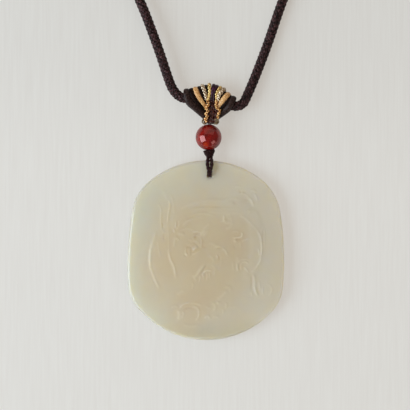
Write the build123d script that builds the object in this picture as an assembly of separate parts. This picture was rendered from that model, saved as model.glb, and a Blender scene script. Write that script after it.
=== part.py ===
from build123d import *
import math
import os

# A carved jade plaque on a knotted silk cord, lying face up on a flat surface.
# The origin is the middle of the plaque's flat back. +Y runs towards the neck, +Z up from the face.
# All lengths are in millimetres and all angles in degrees.

# Gap left between pieces that lie against each other
piece_gap = 0.1

# Jade plaque: a disc with two bowed sides and rounded corners
plaque_radius = 27.7
left_reach = 24.4
right_reach = 24.0
left_bow_radius = 112.0
right_bow_radius = 90.0
left_bow_rise = -6.1
right_bow_rise = -2.9
top_left_corner = 13.0
top_right_corner = 16.0
bottom_left_corner = 13.5
bottom_right_corner = 12.0

# Plaque faces: both are crowned, and the back has a flat middle that it rests on
plaque_thickness = 5.6
front_rim_height = 3.8
back_rim_height = 1.6
back_flat_diameter = 24.0
rim_round = 1.0

# Hanging hole, near the plaque's top edge
hole_diameter = 2.2
hole_from_edge = 4.7
hole_offset = 0.95
hole_round = 0.3

# Raised carving on the front
ridge_height = 0.45
ridge_width = 0.6
body_height = 0.25
body_width = 3.4
head_width = 4.6

# Bead and its thread
bead_diameter = 8.0
bead_offset = 0.65
bead_bore = 1.6
bore_round = 0.25
bead_thread_diameter = 1.2

# Knot under the bead, wound in a cone
knot_length = 2.3
knot_top_diameter = 3.6
knot_bottom_diameter = 1.9
knot_turns = 3

# Doubled thread through the plaque's hole
thread_diameter = 0.85
thread_rise = 0.7
thread_bend = 0.65
thread_spread = 1.3

# Knotted column above the bead, which leans sideways and dips towards the surface as it rises
column_length = 7.5
column_thickness = 3.1
column_offset = 0.45
column_lean = 4.5
column_dip = 2.5
knot_round = 0.45
# Corner radius of a knot as a share of its smaller side, and how far a knot reaches into the next one
knot_corner = 0.42
knot_overlap = 1.04
# Widths of the column's knots, from the bead upwards; the last one gathers the fan
knot_widths = [2.6, 3.0, 3.2, 3.3, 3.2]

# Gold zigzag cords on the column's front
gold_edge_diameter = 0.8
gold_edge_spacing = 1.65
gold_edge_sway = 0.45
gold_edge_waves = 4
# Share of the column's length that the gold cords cover
gold_edge_reach = 0.94

# Small open loops of thread at the column's foot
end_loop_radius = 0.6
end_loop_wire = 0.45
end_loop_rise = 0.7
end_loop_turn = 240

# Neck cord, and the loop that it forms from the bead's middle to the back of the neck
neck_cord_diameter = 3.2
loop_width = 152.0
loop_length = 250.0
# Share of the shorter run beside a bend that its arc may take up
bend_share = 0.45

# Fan of strands that pass over the neck cord and gather in the column
fan_span = 14.8
fan_start = 10.25
wrap_gap = 0.15
# Distance beyond the neck cord's middle at which a strand turns towards the column
wrap_lead = 0.6
dark_strand = 1.5
black_strand = 1.0
tan_strand = 1.3
silver_strand = 0.9
wide_silver_strand = 1.0
gold_strand = 0.8
plum_strand = 0.9


def sphere_through(sag, reach):
    """Radius of the sphere that falls by sag at the distance reach from its crest."""
    return (reach ** 2 + sag ** 2) / (2 * sag)


def plaque_outline():
    """The plaque seen from the front."""
    disc = Circle(plaque_radius)
    left_bow = Pos(left_bow_radius - left_reach, left_bow_rise) * Circle(left_bow_radius)
    right_bow = Pos(right_reach - right_bow_radius, right_bow_rise) * Rot(0, 0, 180)
    right_bow = right_bow * Circle(right_bow_radius)
    outline = disc & left_bow & right_bow
    corners = [
        (-1, 1, top_left_corner),
        (1, 1, top_right_corner),
        (-1, -1, bottom_left_corner),
        (1, -1, bottom_right_corner),
    ]
    for side, end, radius in corners:
        corner = [v for v in outline.vertices() if v.X * side > 0 and v.Y * end > 0]
        outline = fillet(corner, radius)
    return outline


front_sphere_radius = sphere_through(plaque_thickness - front_rim_height, plaque_radius)
front_centre = plaque_thickness - front_sphere_radius
back_flat_radius = back_flat_diameter / 2
back_sphere_radius = (plaque_radius ** 2 - back_flat_radius ** 2) / (2 * back_rim_height)
back_centre = math.sqrt(back_sphere_radius ** 2 - back_flat_radius ** 2)
hole_height = plaque_radius - hole_from_edge


def front_crown(rise):
    """The ball whose upper face is the plaque's front, raised by rise."""
    return Pos(0, 0, front_centre) * Rot(0, 90, 0) * Sphere(front_sphere_radius + rise)


def front_at(y):
    """Height of the plaque's front at the distance y from the middle."""
    return front_centre + math.sqrt(front_sphere_radius ** 2 - y ** 2)


def back_at(y):
    """Height of the plaque's crowned back at the distance y from the middle."""
    return back_centre - math.sqrt(back_sphere_radius ** 2 - y ** 2)


# The carving's lines, seen from the front, in shares of plaque_radius.
# Each line is drawn as arcs of three points, and the last point of one arc starts the next.
carved_lines = {
    "mane_outer": [(-0.567, 0.20), (-0.638, -0.12), (-0.53, -0.41)],
    "mane_first": [
        (-0.528, 0.504), (-0.512, 0.338), (-0.481, 0.171), (-0.437, 0.054),
        (-0.411, -0.051), (-0.37, -0.173), (-0.339, -0.313),
    ],
    "mane_second": [(-0.467, 0.632), (-0.421, 0.504), (-0.434, 0.315), (-0.428, 0.193), (-0.389, 0.104)],
    "mane_third": [(-0.333, 0.493), (-0.342, 0.338), (-0.367, 0.204)],
    "back_outer": [(-0.274, 0.477), (-0.017, 0.55), (0.283, 0.564)],
    "back_inner": [(-0.314, 0.252), (-0.161, 0.36), (0.062, 0.413)],
    "flank": [(0.372, 0.373), (0.533, 0.239), (0.599, 0.038), (0.589, -0.129), (0.507, -0.267)],
    "tail": [(0.507, -0.267), (0.517, -0.373), (0.555, -0.495)],
    "tail_curl": [(0.583, -0.407), (0.616, -0.501), (0.694, -0.49), (0.728, -0.44), (0.689, -0.401)],
    "leaf_low": [(0.359, 0.64), (0.45, 0.604), (0.5, 0.499)],
    "leaf_high": [(0.439, 0.676), (0.522, 0.626), (0.561, 0.538)],
    "shoulder_curl": [(0.183, 0.382), (0.22, 0.312), (0.267, 0.371)],
    "claw": [(0.298, 0.14), (0.344, 0.116), (0.389, 0.16)],
    "claw_low": [(0.305, 0.049), (0.361, 0.038), (0.411, 0.077)],
    "key_left": [(0.331, -0.129), (0.333, -0.196), (0.361, -0.245)],
    "key_right": [(0.389, -0.223), (0.389, -0.151), (0.439, -0.138), (0.478, -0.168), (0.45, -0.218)],
    "foot": [(-0.089, -0.223), (-0.039, -0.162), (0.033, -0.179)],
    "toe_left": [(-0.072, -0.229), (-0.106, -0.279), (-0.156, -0.295)],
    "toe_middle": [(-0.028, -0.218), (-0.037, -0.284), (-0.067, -0.345)],
    "toe_right": [(0.017, -0.218), (0.026, -0.284), (0.011, -0.345)],
    "brow": [(-0.239, 0.116), (-0.194, 0.146), (-0.139, 0.116)],
    "snout": [(-0.241, 0.049), (-0.25, -0.018), (-0.211, -0.068)],
    "cheek": [(-0.133, 0.049), (-0.1, -0.018), (-0.144, -0.09)],
    "jaw": [(0.022, 0.063), (0.128, 0.04), (0.197, -0.003), (0.225, -0.04), (0.23, -0.084)],
    "cloud": [
        (-0.328, -0.729), (-0.333, -0.651), (-0.272, -0.601), (-0.178, -0.577),
        (-0.106, -0.629), (-0.078, -0.69), (-0.122, -0.751),
    ],
    "cloud_curl": [(-0.255, -0.701), (-0.211, -0.651), (-0.167, -0.69)],
    "belly": [(0.25, -0.418), (0.2, -0.488), (0.117, -0.542)],
    "wave_left": [(0.05, -0.584), (0.094, -0.64), (0.144, -0.595)],
    "wave_right": [(0.178, -0.579), (0.211, -0.623), (0.25, -0.59)],
}

# The dragon's body, a low rounded band under the lines, in the same shares
body_line = [
    (-0.317, 0.327), (-0.039, 0.479), (0.283, 0.49), (0.494, 0.399),
    (0.555, 0.16), (0.558, -0.062), (0.483, -0.251),
]
head_place = (-0.167, 0.038)


def stroke(shares, width):
    """A line of the carving as a flat band with round ends."""
    points = [(x * plaque_radius, y * plaque_radius) for x, y in shares]
    band = Sketch()
    for first in range(0, len(points) - 2, 2):
        band += trace(ThreePointArc(*points[first:first + 3]), width)
    for x, y in points[::2]:
        band += Pos(x, y) * Circle(width / 2)
    return band


def raised(band, rise):
    """A flat band of the carving, raised above the plaque's front by rise."""
    middle = plaque_thickness / 2
    return extrude(Pos(0, 0, middle) * band, middle + rise) & front_crown(rise)


def jade_plaque():
    """The plaque with its hole and carving, one piece of stone."""
    body = extrude(plaque_outline(), plaque_thickness) & front_crown(0)
    body = body & Pos(0, 0, back_centre) * Rot(0, -90, 0) * Sphere(back_sphere_radius)
    rim = [
        edge for edge in body.edges()
        if edge.geom_type != GeomType.LINE and (edge @ 0.5).length > back_flat_radius * 1.2
    ]
    body = fillet(rim, rim_round)
    body -= Pos(hole_offset, hole_height) * Cylinder(hole_diameter / 2, plaque_thickness * 3)
    hole_rims = [
        edge for edge in body.edges()
        if edge.geom_type != GeomType.LINE
        and (edge.center() - Vector(hole_offset, hole_height, edge.center().Z)).length < hole_diameter
    ]
    body = fillet(hole_rims, hole_round)
    x, y = head_place
    low = stroke(body_line, body_width) + Pos(x * plaque_radius, y * plaque_radius) * Circle(head_width / 2)
    lines = Sketch() + [stroke(shares, ridge_width) for shares in carved_lines.values()]
    return body + raised(low, body_height) + raised(lines, ridge_height)


def tube(path, diameter):
    """A round strand along a path."""
    return sweep(Plane(origin=path @ 0, z_dir=path % 0) * Circle(diameter / 2), path=path)


def bend_radii(points, closed=False):
    """The largest arc that each corner of a route has room for."""
    places = [Vector(*point) for point in points]
    corners = range(len(places)) if closed else range(1, len(places) - 1)
    radii = []
    for corner in corners:
        before = places[corner] - places[corner - 1]
        after = places[(corner + 1) % len(places)] - places[corner]
        half_turn = math.radians(before.get_angle(after)) / 2
        radii.append(bend_share * min(before.length, after.length) / math.tan(half_turn))
    return radii


# The string: plaque, knot, bead and column follow each other upwards
knot_foot = plaque_radius + thread_rise
bead_radius = bead_diameter / 2
bead_height = knot_foot + knot_length + piece_gap + bead_radius
bead_place = Pos(bead_offset, bead_height, bead_radius)
# The frame of the column and the fan: its origin is the bead's middle and its +Y runs up the column
string_frame = bead_place * Rot(0, 0, -column_lean) * Rot(-column_dip, 0, 0)
column_foot = bead_radius + piece_gap
half_thickness = column_thickness / 2


def agate_bead():
    """A round bead drilled along the string."""
    bead = Sphere(bead_radius) - Cylinder(bead_bore / 2, bead_diameter * 2)
    mouths = [edge for edge in bead.edges().filter_by(GeomType.CIRCLE) if edge.radius < bead_bore]
    return string_frame * Rot(90, 0, 0) * fillet(mouths, bore_round)


def bead_thread():
    """The thread inside the bead, from the knot to the column."""
    return string_frame * Rot(90, 0, 0) * Cylinder(bead_thread_diameter / 2, bead_diameter)


def bead_knot():
    """The knot under the bead: turns of thread that narrow downwards."""
    turn = knot_length / knot_turns
    bulge = turn / 3
    step = (knot_top_diameter - knot_bottom_diameter) / 2 / max(knot_turns - 1, 1)
    radius = knot_bottom_diameter / 2
    low = radius - bulge
    profile = Polyline((0, knot_length), (0, 0), (low, 0))
    for index in range(knot_turns):
        last = index == knot_turns - 1
        high = radius - bulge if last else radius + step / 2 - bulge
        foot = turn * index
        profile += ThreePointArc((low, foot), (radius, foot + turn / 2), (high, foot + turn))
        low = high
        radius += step
    profile += Line((low, knot_length), (0, knot_length))
    share = (hole_height - knot_foot) / (hole_height - bead_height)
    middle = hole_offset + (bead_offset - hole_offset) * share
    solid = revolve(make_face(profile), Axis.Y)
    return Pos(middle, knot_foot, bead_radius) * solid


def thread_strand(side):
    """One of the two strands that go from the knot through the hole and up behind the plaque."""
    half = thread_diameter / 2
    clear = half + piece_gap
    front = front_at(hole_height) + clear + hole_round / 2
    behind = max(back_at(hole_height) - clear - hole_round / 2, half)
    knot_low = bead_radius - knot_bottom_diameter / 2
    inner = half + piece_gap / 2
    outer = thread_spread / 2
    edge = plaque_radius + clear
    shoulder = plaque_radius - rim_round
    points = [
        (outer, knot_foot - piece_gap, bead_radius + half),
        (outer, shoulder, front - piece_gap / 2),
        (inner, hole_height, front),
        (inner, hole_height, behind),
        (outer, shoulder, max(back_at(shoulder) - clear - piece_gap, half)),
        (outer, edge + piece_gap, back_rim_height),
        (outer, knot_foot + half, knot_low - piece_gap),
    ]
    radii = [min(thread_bend, radius) for radius in bend_radii(points)]
    path = FilletPolyline(*points, radius=radii)
    solid = tube(path, thread_diameter)
    if side < 0:
        solid = mirror(solid, Plane.YZ)
    return Pos(hole_offset, 0, 0) * solid


def knot_column():
    """Flat knots on top of each other, one solid."""
    pitch = column_length / len(knot_widths)
    column = Part()
    for index, width in enumerate(knot_widths):
        section = RectangleRounded(width, column_thickness, min(width, column_thickness) * knot_corner)
        knot = extrude(section, pitch * knot_overlap)
        knot = fillet(knot.faces().filter_by(Axis.Z).edges(), knot_round)
        column += Pos(column_offset, column_foot + pitch * index, 0) * Rot(-90, 0, 0) * knot
    return string_frame * column


def gold_edge(side):
    """A gold cord that zigzags up one side of the column's front."""
    level = half_thickness + piece_gap + gold_edge_diameter / 2
    pitch = column_length * gold_edge_reach / gold_edge_waves / 2
    points = []
    for step in range(gold_edge_waves * 2):
        sway = gold_edge_sway if step % 2 else -gold_edge_sway
        points.append((side * (gold_edge_spacing + sway), column_foot + pitch * (step + 0.5), level))
    path = FilletPolyline(*points, radius=bend_radii(points))
    return string_frame * Pos(column_offset, 0, 0) * tube(path, gold_edge_diameter)


def end_loop(side):
    """A small open loop of thread at the side of the column's lowest knot."""
    middle = knot_widths[0] / 2 + piece_gap + (end_loop_wire + end_loop_radius) / 2
    centre = (middle, column_foot + end_loop_rise)
    loop = tube(CenterArc(centre, end_loop_radius, -end_loop_turn / 2, end_loop_turn), end_loop_wire)
    if side < 0:
        loop = mirror(loop, Plane.YZ)
    return string_frame * Pos(column_offset, 0, 0) * loop


# Neck cord: a closed loop. Its first points run through the fan, from left to right, in shares of the
# fan's span from the bead's middle; the others lie on the surface and go once round, in shares of the
# loop's width and length from the same place. Heights are shares of the neck cord's diameter.
crown_shares = [
    (-0.8615, 1.2703, 0.781), (-0.7804, 1.0473, 0.906), (-0.6926, 0.9257, 1.000),
    (-0.5980, 0.8446, 1.062), (-0.4831, 0.8041, 1.062), (-0.3277, 0.8243, 1.062),
    (-0.1588, 0.8818, 1.062), (-0.0034, 0.9426, 1.062), (0.1318, 0.9426, 1.062),
    (0.2534, 0.8750, 1.062), (0.3547, 0.7804, 1.062), (0.4757, 0.6716, 1.062),
    (0.5696, 0.6466, 1.062), (0.6649, 0.6669, 1.031), (0.7405, 0.7284, 1.000),
    (0.7872, 0.8378, 0.938), (0.8615, 1.0000, 0.812), (0.9966, 1.3243, 0.656),
]
surface_shares = [
    (0.1234, 0.1192, 0.531), (0.1536, 0.1704, 0.500), (0.2095, 0.2608, 0.500),
    (0.3181, 0.3888, 0.500), (0.4299, 0.5328, 0.500), (0.4957, 0.6928, 0.500),
    (0.4431, 0.8528, 0.500), (0.2589, 0.9648, 0.500), (0.0155, 1.0008, 0.500),
    (-0.2280, 0.9728, 0.500), (-0.4319, 0.8728, 0.500), (-0.5109, 0.7168, 0.500),
    (-0.4582, 0.5568, 0.500), (-0.3398, 0.4128, 0.500), (-0.2247, 0.2768, 0.500),
    (-0.1437, 0.1744, 0.500), (-0.1069, 0.1112, 0.562),
]


def placed(shares, across, along):
    """Points of the neck cord's route from their shares."""
    return [
        (bead_offset + x * across, bead_height + y * along, z * neck_cord_diameter) for x, y, z in shares
    ]


crown_route = placed(crown_shares, fan_span, fan_span)
neck_route = crown_route + placed(surface_shares, loop_width, loop_length)
neck_radii = bend_radii(neck_route, closed=True)
crown_path = FilletPolyline(*crown_route, radius=bend_radii(crown_route))


def neck_cord():
    """The neck cord: two tubes that meet in the middle of a straight run at each side, as one solid."""
    right = len(crown_route)
    left = len(neck_route) - 2
    right_end = (Vector(*neck_route[right]) + Vector(*neck_route[right + 1])) / 2
    left_end = (Vector(*neck_route[left - 1]) + Vector(*neck_route[left])) / 2
    lower = [left_end, *neck_route[left:], *neck_route[:right + 1], right_end]
    lower_radii = neck_radii[left:] + neck_radii[:right + 1]
    upper = [right_end, *neck_route[right + 1:left], left_end]
    upper_radii = neck_radii[right + 1:left]
    loop = tube(FilletPolyline(*lower, radius=lower_radii), neck_cord_diameter)
    return loop + tube(FilletPolyline(*upper, radius=upper_radii), neck_cord_diameter)


# The fan's strands from left to right. Columns: name, diameter, place on the neck cord as a share of
# the fan's span, and the strand's end and the elbow of a bowed strand, each as shares of the
# column's width across, of its length up and of its half thickness out.
fan_rows = [
    ("fan_dark_left", dark_strand, 0.0, (-0.82, 0.267, 0.52), (-1.68, 0.627, 0.84)),
    ("fan_black_left", black_strand, 0.115, (-0.73, 0.52, 0.36), None),
    ("fan_tan_left", tan_strand, 0.22, (-0.79, 0.78, 0.45), None),
    ("fan_silver_left", silver_strand, 0.314, (-0.76, 1.047, 1.32), None),
    ("fan_gold_left", gold_strand, 0.399, (-0.455, 1.053, 1.32), None),
    ("fan_plum_left", plum_strand, 0.48, (-0.167, 1.053, 1.32), None),
    ("fan_plum_right", plum_strand, 0.568, (0.136, 1.053, 1.32), None),
    ("fan_gold_right", gold_strand, 0.659, (0.43, 1.027, 1.32), None),
    ("fan_silver_right", wide_silver_strand, 0.75, (0.712, 0.96, 1.32), None),
    ("fan_tan_right", tan_strand, 0.865, (0.742, 0.667, 0.43), None),
    ("fan_dark_right", dark_strand, 1.0, (0.742, 0.253, 0.52), (1.38, 0.467, 0.78)),
]


def column_place(shares, side):
    """A place beside the column from its shares, in front of its middle or behind it."""
    across, up, out = shares
    x = column_offset + across * max(knot_widths)
    return Vector(x, column_foot + up * column_length, side * out * half_thickness)


def fan_strand(diameter, share, foot, elbow):
    """A strand that leads over the neck cord and back behind it."""
    wrap = (neck_cord_diameter + diameter) / 2 + wrap_gap
    length = fan_start + share * fan_span
    on_cord = crown_path.position_at(length, position_mode=PositionMode.LENGTH)
    heading = crown_path.tangent_at(length, position_mode=PositionMode.LENGTH)
    crossing = (string_frame.inverse() * Pos(*on_cord)).position
    ahead = (string_frame.inverse() * Pos(*(on_cord + heading))).position - crossing
    inward = Vector(ahead.Y, -ahead.X).normalized()
    legs = []
    for side in (1, -1):
        level = Vector(0, 0, side * wrap)
        leg = [column_place(foot, side)]
        if elbow:
            leg.append(column_place(elbow, side))
        leg += [crossing + inward * wrap_lead + level, crossing - inward * wrap + level]
        legs.append(leg)
    points = legs[0] + legs[1][::-1]
    # Room for each bend: the elbow takes part of its runs, the others are set by the wrap
    rooms = [wrap_lead * 0.9, wrap * 0.98]
    if elbow:
        first, second, third = legs[0][:3]
        rooms.insert(0, bend_share * min((second - first).length, (third - second).length))
    rooms += rooms[::-1]
    radii = []
    for room, before, corner, after in zip(rooms, points, points[1:], points[2:]):
        half_turn = math.radians((corner - before).get_angle(after - corner)) / 2
        radii.append(room / math.tan(half_turn))
    return string_frame * tube(FilletPolyline(*points, radius=radii), diameter)


pieces = {}
pieces["jade_plaque"] = jade_plaque()
pieces["agate_bead"] = agate_bead()
pieces["bead_thread"] = bead_thread()
pieces["bead_knot"] = bead_knot()
pieces["thread_strand_left"] = thread_strand(-1)
pieces["thread_strand_right"] = thread_strand(1)
pieces["knot_column"] = knot_column()
pieces["gold_edge_left"] = gold_edge(-1)
pieces["gold_edge_right"] = gold_edge(1)
pieces["end_loop_left"] = end_loop(-1)
pieces["end_loop_right"] = end_loop(1)

for name, diameter, share, foot, elbow in fan_rows:
    pieces[name] = fan_strand(diameter, share, foot, elbow)
pieces["neck_cord"] = neck_cord()

os.makedirs("parts", exist_ok=True)
for name, piece in pieces.items():
    piece.label = name
    export_step(piece, f"parts/{name}.step")

print("neck cord bend radii:", [round(radius, 1) for radius in neck_radii])
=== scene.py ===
"""A jade dragon pendant on a braided neck cord, dressed piece by piece for its studio picture.

Lengths are in millimetres in the tables and in metres in Blender. The plaque lies on its back at the
origin, +Y runs up the string towards the wearer's neck and +Z points to the camera.
"""

from __future__ import annotations

import logging
import math
from collections.abc import Callable, Sequence
from dataclasses import dataclass, field, replace
from enum import Enum
from functools import partial
from typing import Any, ClassVar

import bpy
import numpy as np
from mathutils import Euler, Matrix, Vector

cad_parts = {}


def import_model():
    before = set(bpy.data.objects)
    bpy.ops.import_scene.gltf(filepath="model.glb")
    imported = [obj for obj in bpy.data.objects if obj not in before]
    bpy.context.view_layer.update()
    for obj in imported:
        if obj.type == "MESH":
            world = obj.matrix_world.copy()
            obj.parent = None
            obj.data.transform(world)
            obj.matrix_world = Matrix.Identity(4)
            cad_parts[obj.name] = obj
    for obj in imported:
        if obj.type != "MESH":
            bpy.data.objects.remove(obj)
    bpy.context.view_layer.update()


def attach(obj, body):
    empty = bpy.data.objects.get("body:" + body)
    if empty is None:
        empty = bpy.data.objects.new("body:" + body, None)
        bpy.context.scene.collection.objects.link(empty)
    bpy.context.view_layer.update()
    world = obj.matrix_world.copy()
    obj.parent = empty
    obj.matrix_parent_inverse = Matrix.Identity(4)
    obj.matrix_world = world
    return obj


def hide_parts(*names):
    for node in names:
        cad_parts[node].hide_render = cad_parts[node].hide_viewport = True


LOG = logging.getLogger("pendant")
MM = 0.001
BODY = "root"
FULL_TURN = 2 * math.pi

Point = Sequence[float]
Place = tuple[float, float]
Spot = tuple[float, float, float]
Array = np.ndarray
Adder = Callable[..., bpy.types.Node]


class Twist(Enum):
    """The way that a twisted or braided strand turns round its cord."""

    RIGHT = 1.0
    LEFT = -1.0


class Carry(Enum):
    """How the side of a strand is carried along its way."""

    LEVEL = "level"
    FREE = "free"


def linear(value: str) -> tuple[float, float, float, float]:
    """Turn an sRGB hex colour into Blender's linear colour, with the sRGB standard's curve.

    Args:
        value: The colour as six hex digits.

    Returns:
        Linear red, green and blue, and an alpha of 1.
    """
    parts = [int(value[i:i + 2], 16) / 255 for i in (0, 2, 4)]
    red, green, blue = (p / 12.92 if p <= 0.04045 else ((p + 0.055) / 1.055) ** 2.4 for p in parts)
    return red, green, blue, 1.0


def add_node(
    tree: bpy.types.NodeTree, kind: str, inputs: dict | None = None, **settings: Any,
) -> bpy.types.Node:
    """Add a node with its settings, values and links.

    Args:
        tree: The node tree.
        kind: Blender's name of the node type.
        inputs: Values, sockets or nodes by the input's name or number; a node gives its first output.
        settings: Properties of the node itself.

    Returns:
        The new node.
    """
    node = tree.nodes.new(kind)
    for name, value in settings.items():
        setattr(node, name, value)
    for key, value in (inputs or {}).items():
        if isinstance(value, bpy.types.Node):
            value = value.outputs[0]
        if isinstance(value, bpy.types.NodeSocket):
            tree.links.new(value, node.inputs[key])
        else:
            node.inputs[key].default_value = value
    return node


def set_ramp(node: bpy.types.Node, stops: Sequence[tuple[float, str]]) -> None:
    """Give a colour ramp its stops.

    Args:
        node: The colour ramp node.
        stops: Places from 0 to 1, each with its hex colour.
    """
    ramp = node.color_ramp
    while len(ramp.elements) < len(stops):
        ramp.elements.new(0.5)
    for element, (place, value) in zip(ramp.elements, stops):
        element.position = place
        element.color = linear(value)


@dataclass(frozen=True)
class Finish:
    """A surface as a maker names it; each kind of finish works out its own shader inputs."""

    name: str

    def make(self) -> bpy.types.Material:
        """Make the material, unless it is there already.

        Returns:
            The material.
        """
        found = bpy.data.materials.get(self.name)
        if found:
            return found
        material = bpy.data.materials.new(self.name)
        material.use_nodes = True
        tree = material.node_tree
        tree.nodes.clear()
        surface = add_node(tree, "ShaderNodeBsdfPrincipled", self.inputs(partial(add_node, tree)))
        add_node(tree, "ShaderNodeOutputMaterial", {"Surface": surface})
        return material

    def inputs(self, add: Adder) -> dict[str, Any]:
        """Return the shader's inputs, for which add puts nodes in the tree; each kind has its own."""
        return {}


@dataclass(frozen=True)
class PolishedJade(Finish):
    """Pale nephrite, carved, then tumbled and waxed.

    A felted mass of fine fibres scatters light a few millimetres deep, so the slab looks like cloudy
    honey in its middle and cooler and clearer towards its thin rim. The outer part and the rim are
    painted lighter on the far side from the window, a painted light for what passes through the stone,
    and the rim beside the window is painted darker, a painted shade. The lower end is painted darker
    too, a painted shade. The carving's crests are painted lighter, a painted highlight, and its hollows
    browner, a painted shade.

    Attributes:
        centre: Colour of the middle.
        near_rim: Colour of the outer part beside the window.
        far_side_light: Colour of the outer part on the far side, painted lighter, a painted light.
        lower_end_shade: Colour of the outer part at the lower end, painted darker, a painted shade.
        cloud: Colour of the clouds.
        hollow: Colour of the carving's hollows, a painted shade.
        crest: Colour of the carving's crests, a painted highlight.
        lit_rim_shade: Colour of the rim beside the window, painted darker, a painted shade.
        far_rim_light: Colour of the rim on the far side, painted lighter, a painted light.
        reach: Distance from the middle to the outer part.
        middle_shift: How far the honey colour is moved to the left and down.
        middle_stretch: How much faster it fades along each axis.
        middle_fade: Shares of the reach between which it fades.
        lower_shade_fade: Places up the plaque between which the lower end's painted shade comes in.
        drift_size: Size of the waves in the honey colour's edge.
        drift_share: How far they push it, as a share of the reach.
        cloud_size: Size of the clouds.
        cloud_fade: Noise at which the clouds start and are full, and how much they cover.
        hollow_shade_fade: The same for the hollows' painted shade, by the carving's tone.
        crest_highlight_fade: The same for the crests' painted highlight.
        rim_share: How much the rim's colour, with its painted light and shade, covers.
        grain_size: Size of the fine dents that tumbling leaves.
        grain_depth: Depth of the dents.
        roughness: Roughness where the wax is thick and where it is thin.
    """

    centre: str = "CABA9C"
    near_rim: str = "C6C4B3"
    far_side_light: str = "D0CABA"
    lower_end_shade: str = "BDB8A6"
    cloud: str = "D2C8AC"
    hollow: str = "B99C6E"
    crest: str = "F0EAD6"
    lit_rim_shade: str = "A7A39A"
    far_rim_light: str = "E2DED4"
    reach: float = 27.0
    middle_shift: Spot = (1.6, 1.5, 0.0)
    middle_stretch: Spot = (1.07, 0.88, 1.0)
    middle_fade: Place = (0.68, 1.18)
    lower_shade_fade: Place = (-19.5, -26.0)
    drift_size: float = 14.0
    drift_share: float = 0.5
    cloud_size: float = 9.0
    cloud_fade: tuple[float, float, float] = (0.45, 0.75, 0.4)
    hollow_shade_fade: tuple[float, float, float] = (0.5, 0.0, 0.38)
    crest_highlight_fade: tuple[float, float, float] = (0.52, 1.0, 0.45)
    rim_share: float = 0.75
    grain_size: float = 0.9
    grain_depth: float = 0.05
    roughness: Place = (0.34, 0.44)

    def inputs(self, add: Adder) -> dict[str, Any]:
        """Mix the honey centre, the cool rim, clouds and the carving, with their painted light and shade.

        Args:
            add: Adds a node to the material's tree.

        Returns:
            The shader's inputs.
        """
        place = add("ShaderNodeTexCoord").outputs["Object"]
        split = add("ShaderNodeSeparateXYZ", {0: place}).outputs
        carved = add("ShaderNodeAttribute", attribute_name="carving").outputs["Fac"]
        edge = add("ShaderNodeAttribute", attribute_name="rim").outputs["Fac"]
        drift = add("ShaderNodeTexNoise", {
            "Vector": place, "Scale": 1 / (self.drift_size * MM), "Detail": 2.0}).outputs["Fac"]
        clouds = add("ShaderNodeTexNoise", {
            "Vector": place, "Scale": 1 / (self.cloud_size * MM), "Detail": 5.0,
            "Roughness": 0.6}).outputs["Fac"]
        grain = add("ShaderNodeTexNoise", {
            "Vector": place, "Scale": 1 / (self.grain_size * MM), "Detail": 3.0}).outputs["Fac"]
        shift = [part * MM for part in self.middle_shift]
        centred = add("ShaderNodeMapping", {"Vector": place, "Location": shift, "Scale": self.middle_stretch})
        radial = add("ShaderNodeVectorMath", {0: centred}, operation="LENGTH").outputs["Value"]
        share = add("ShaderNodeMath", {0: radial, 1: 1 / (self.reach * MM)}, operation="MULTIPLY")
        moved = add("ShaderNodeMath", {0: drift, 1: self.drift_share, 2: share}, operation="MULTIPLY_ADD")
        # The outer part and the rim get lighter towards the far side, painted light, and darker towards the
        # lower end, painted shade
        lower_start, lower_end = (height * MM for height in self.lower_shade_fade)
        outwards, across, below = (
            add("ShaderNodeMapRange", {0: value, 1: start, 2: end}, interpolation_type="SMOOTHSTEP")
            for value, start, end in (
                (moved, *self.middle_fade), (split[0], -self.reach * MM, self.reach * MM),
                (split[1], lower_start, lower_end)))
        # low and high paint the hollows browner, a painted shade, and the crests lighter, a painted highlight
        cloudy, low, high = (
            add("ShaderNodeMapRange", {0: value, 1: start, 2: end, 4: most})
            for value, (start, end, most) in (
                (clouds, self.cloud_fade), (carved, self.hollow_shade_fade), (carved, self.crest_highlight_fade)))
        narrow = add("ShaderNodeMath", {0: edge, 1: 2.0}, operation="POWER")
        shown = add("ShaderNodeMath", {0: narrow, 1: self.rim_share}, operation="MULTIPLY")
        sides = []
        # Beside the window the rim is painted darker than the outer part, a painted shade; on the far side it
        # is painted lighter, a painted light
        for near, far in ((self.near_rim, self.far_side_light), (self.lit_rim_shade, self.far_rim_light)):
            tone = linear(near)
            for cover, colour in ((across, far), (below, self.lower_end_shade)):
                tone = add(
                    "ShaderNodeMix", {0: cover, 6: tone, 7: linear(colour)}, data_type="RGBA").outputs[2]
            sides.append(tone)
        outer, rim = sides
        tone = linear(self.centre)
        layers = (
            (outwards, outer), (cloudy, linear(self.cloud)), (low, linear(self.hollow)),
            (high, linear(self.crest)), (shown, rim))
        for cover, colour in layers:
            tone = add("ShaderNodeMix", {0: cover, 6: tone, 7: colour}, data_type="RGBA").outputs[2]
        gloss = add("ShaderNodeMapRange", {0: grain, 3: self.roughness[0], 4: self.roughness[1]})
        dents = add("ShaderNodeBump", {"Strength": 0.12, "Distance": self.grain_depth * MM, "Height": grain})
        return {
            "Base Color": tone, "Roughness": gloss, "Normal": dents, "IOR": 1.61,
            "Subsurface Weight": 0.85, "Subsurface Radius": (1.0, 0.86, 0.55), "Subsurface Scale": 6.0 * MM,
            "Coat Weight": 0.25, "Coat Roughness": 0.18}


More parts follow.
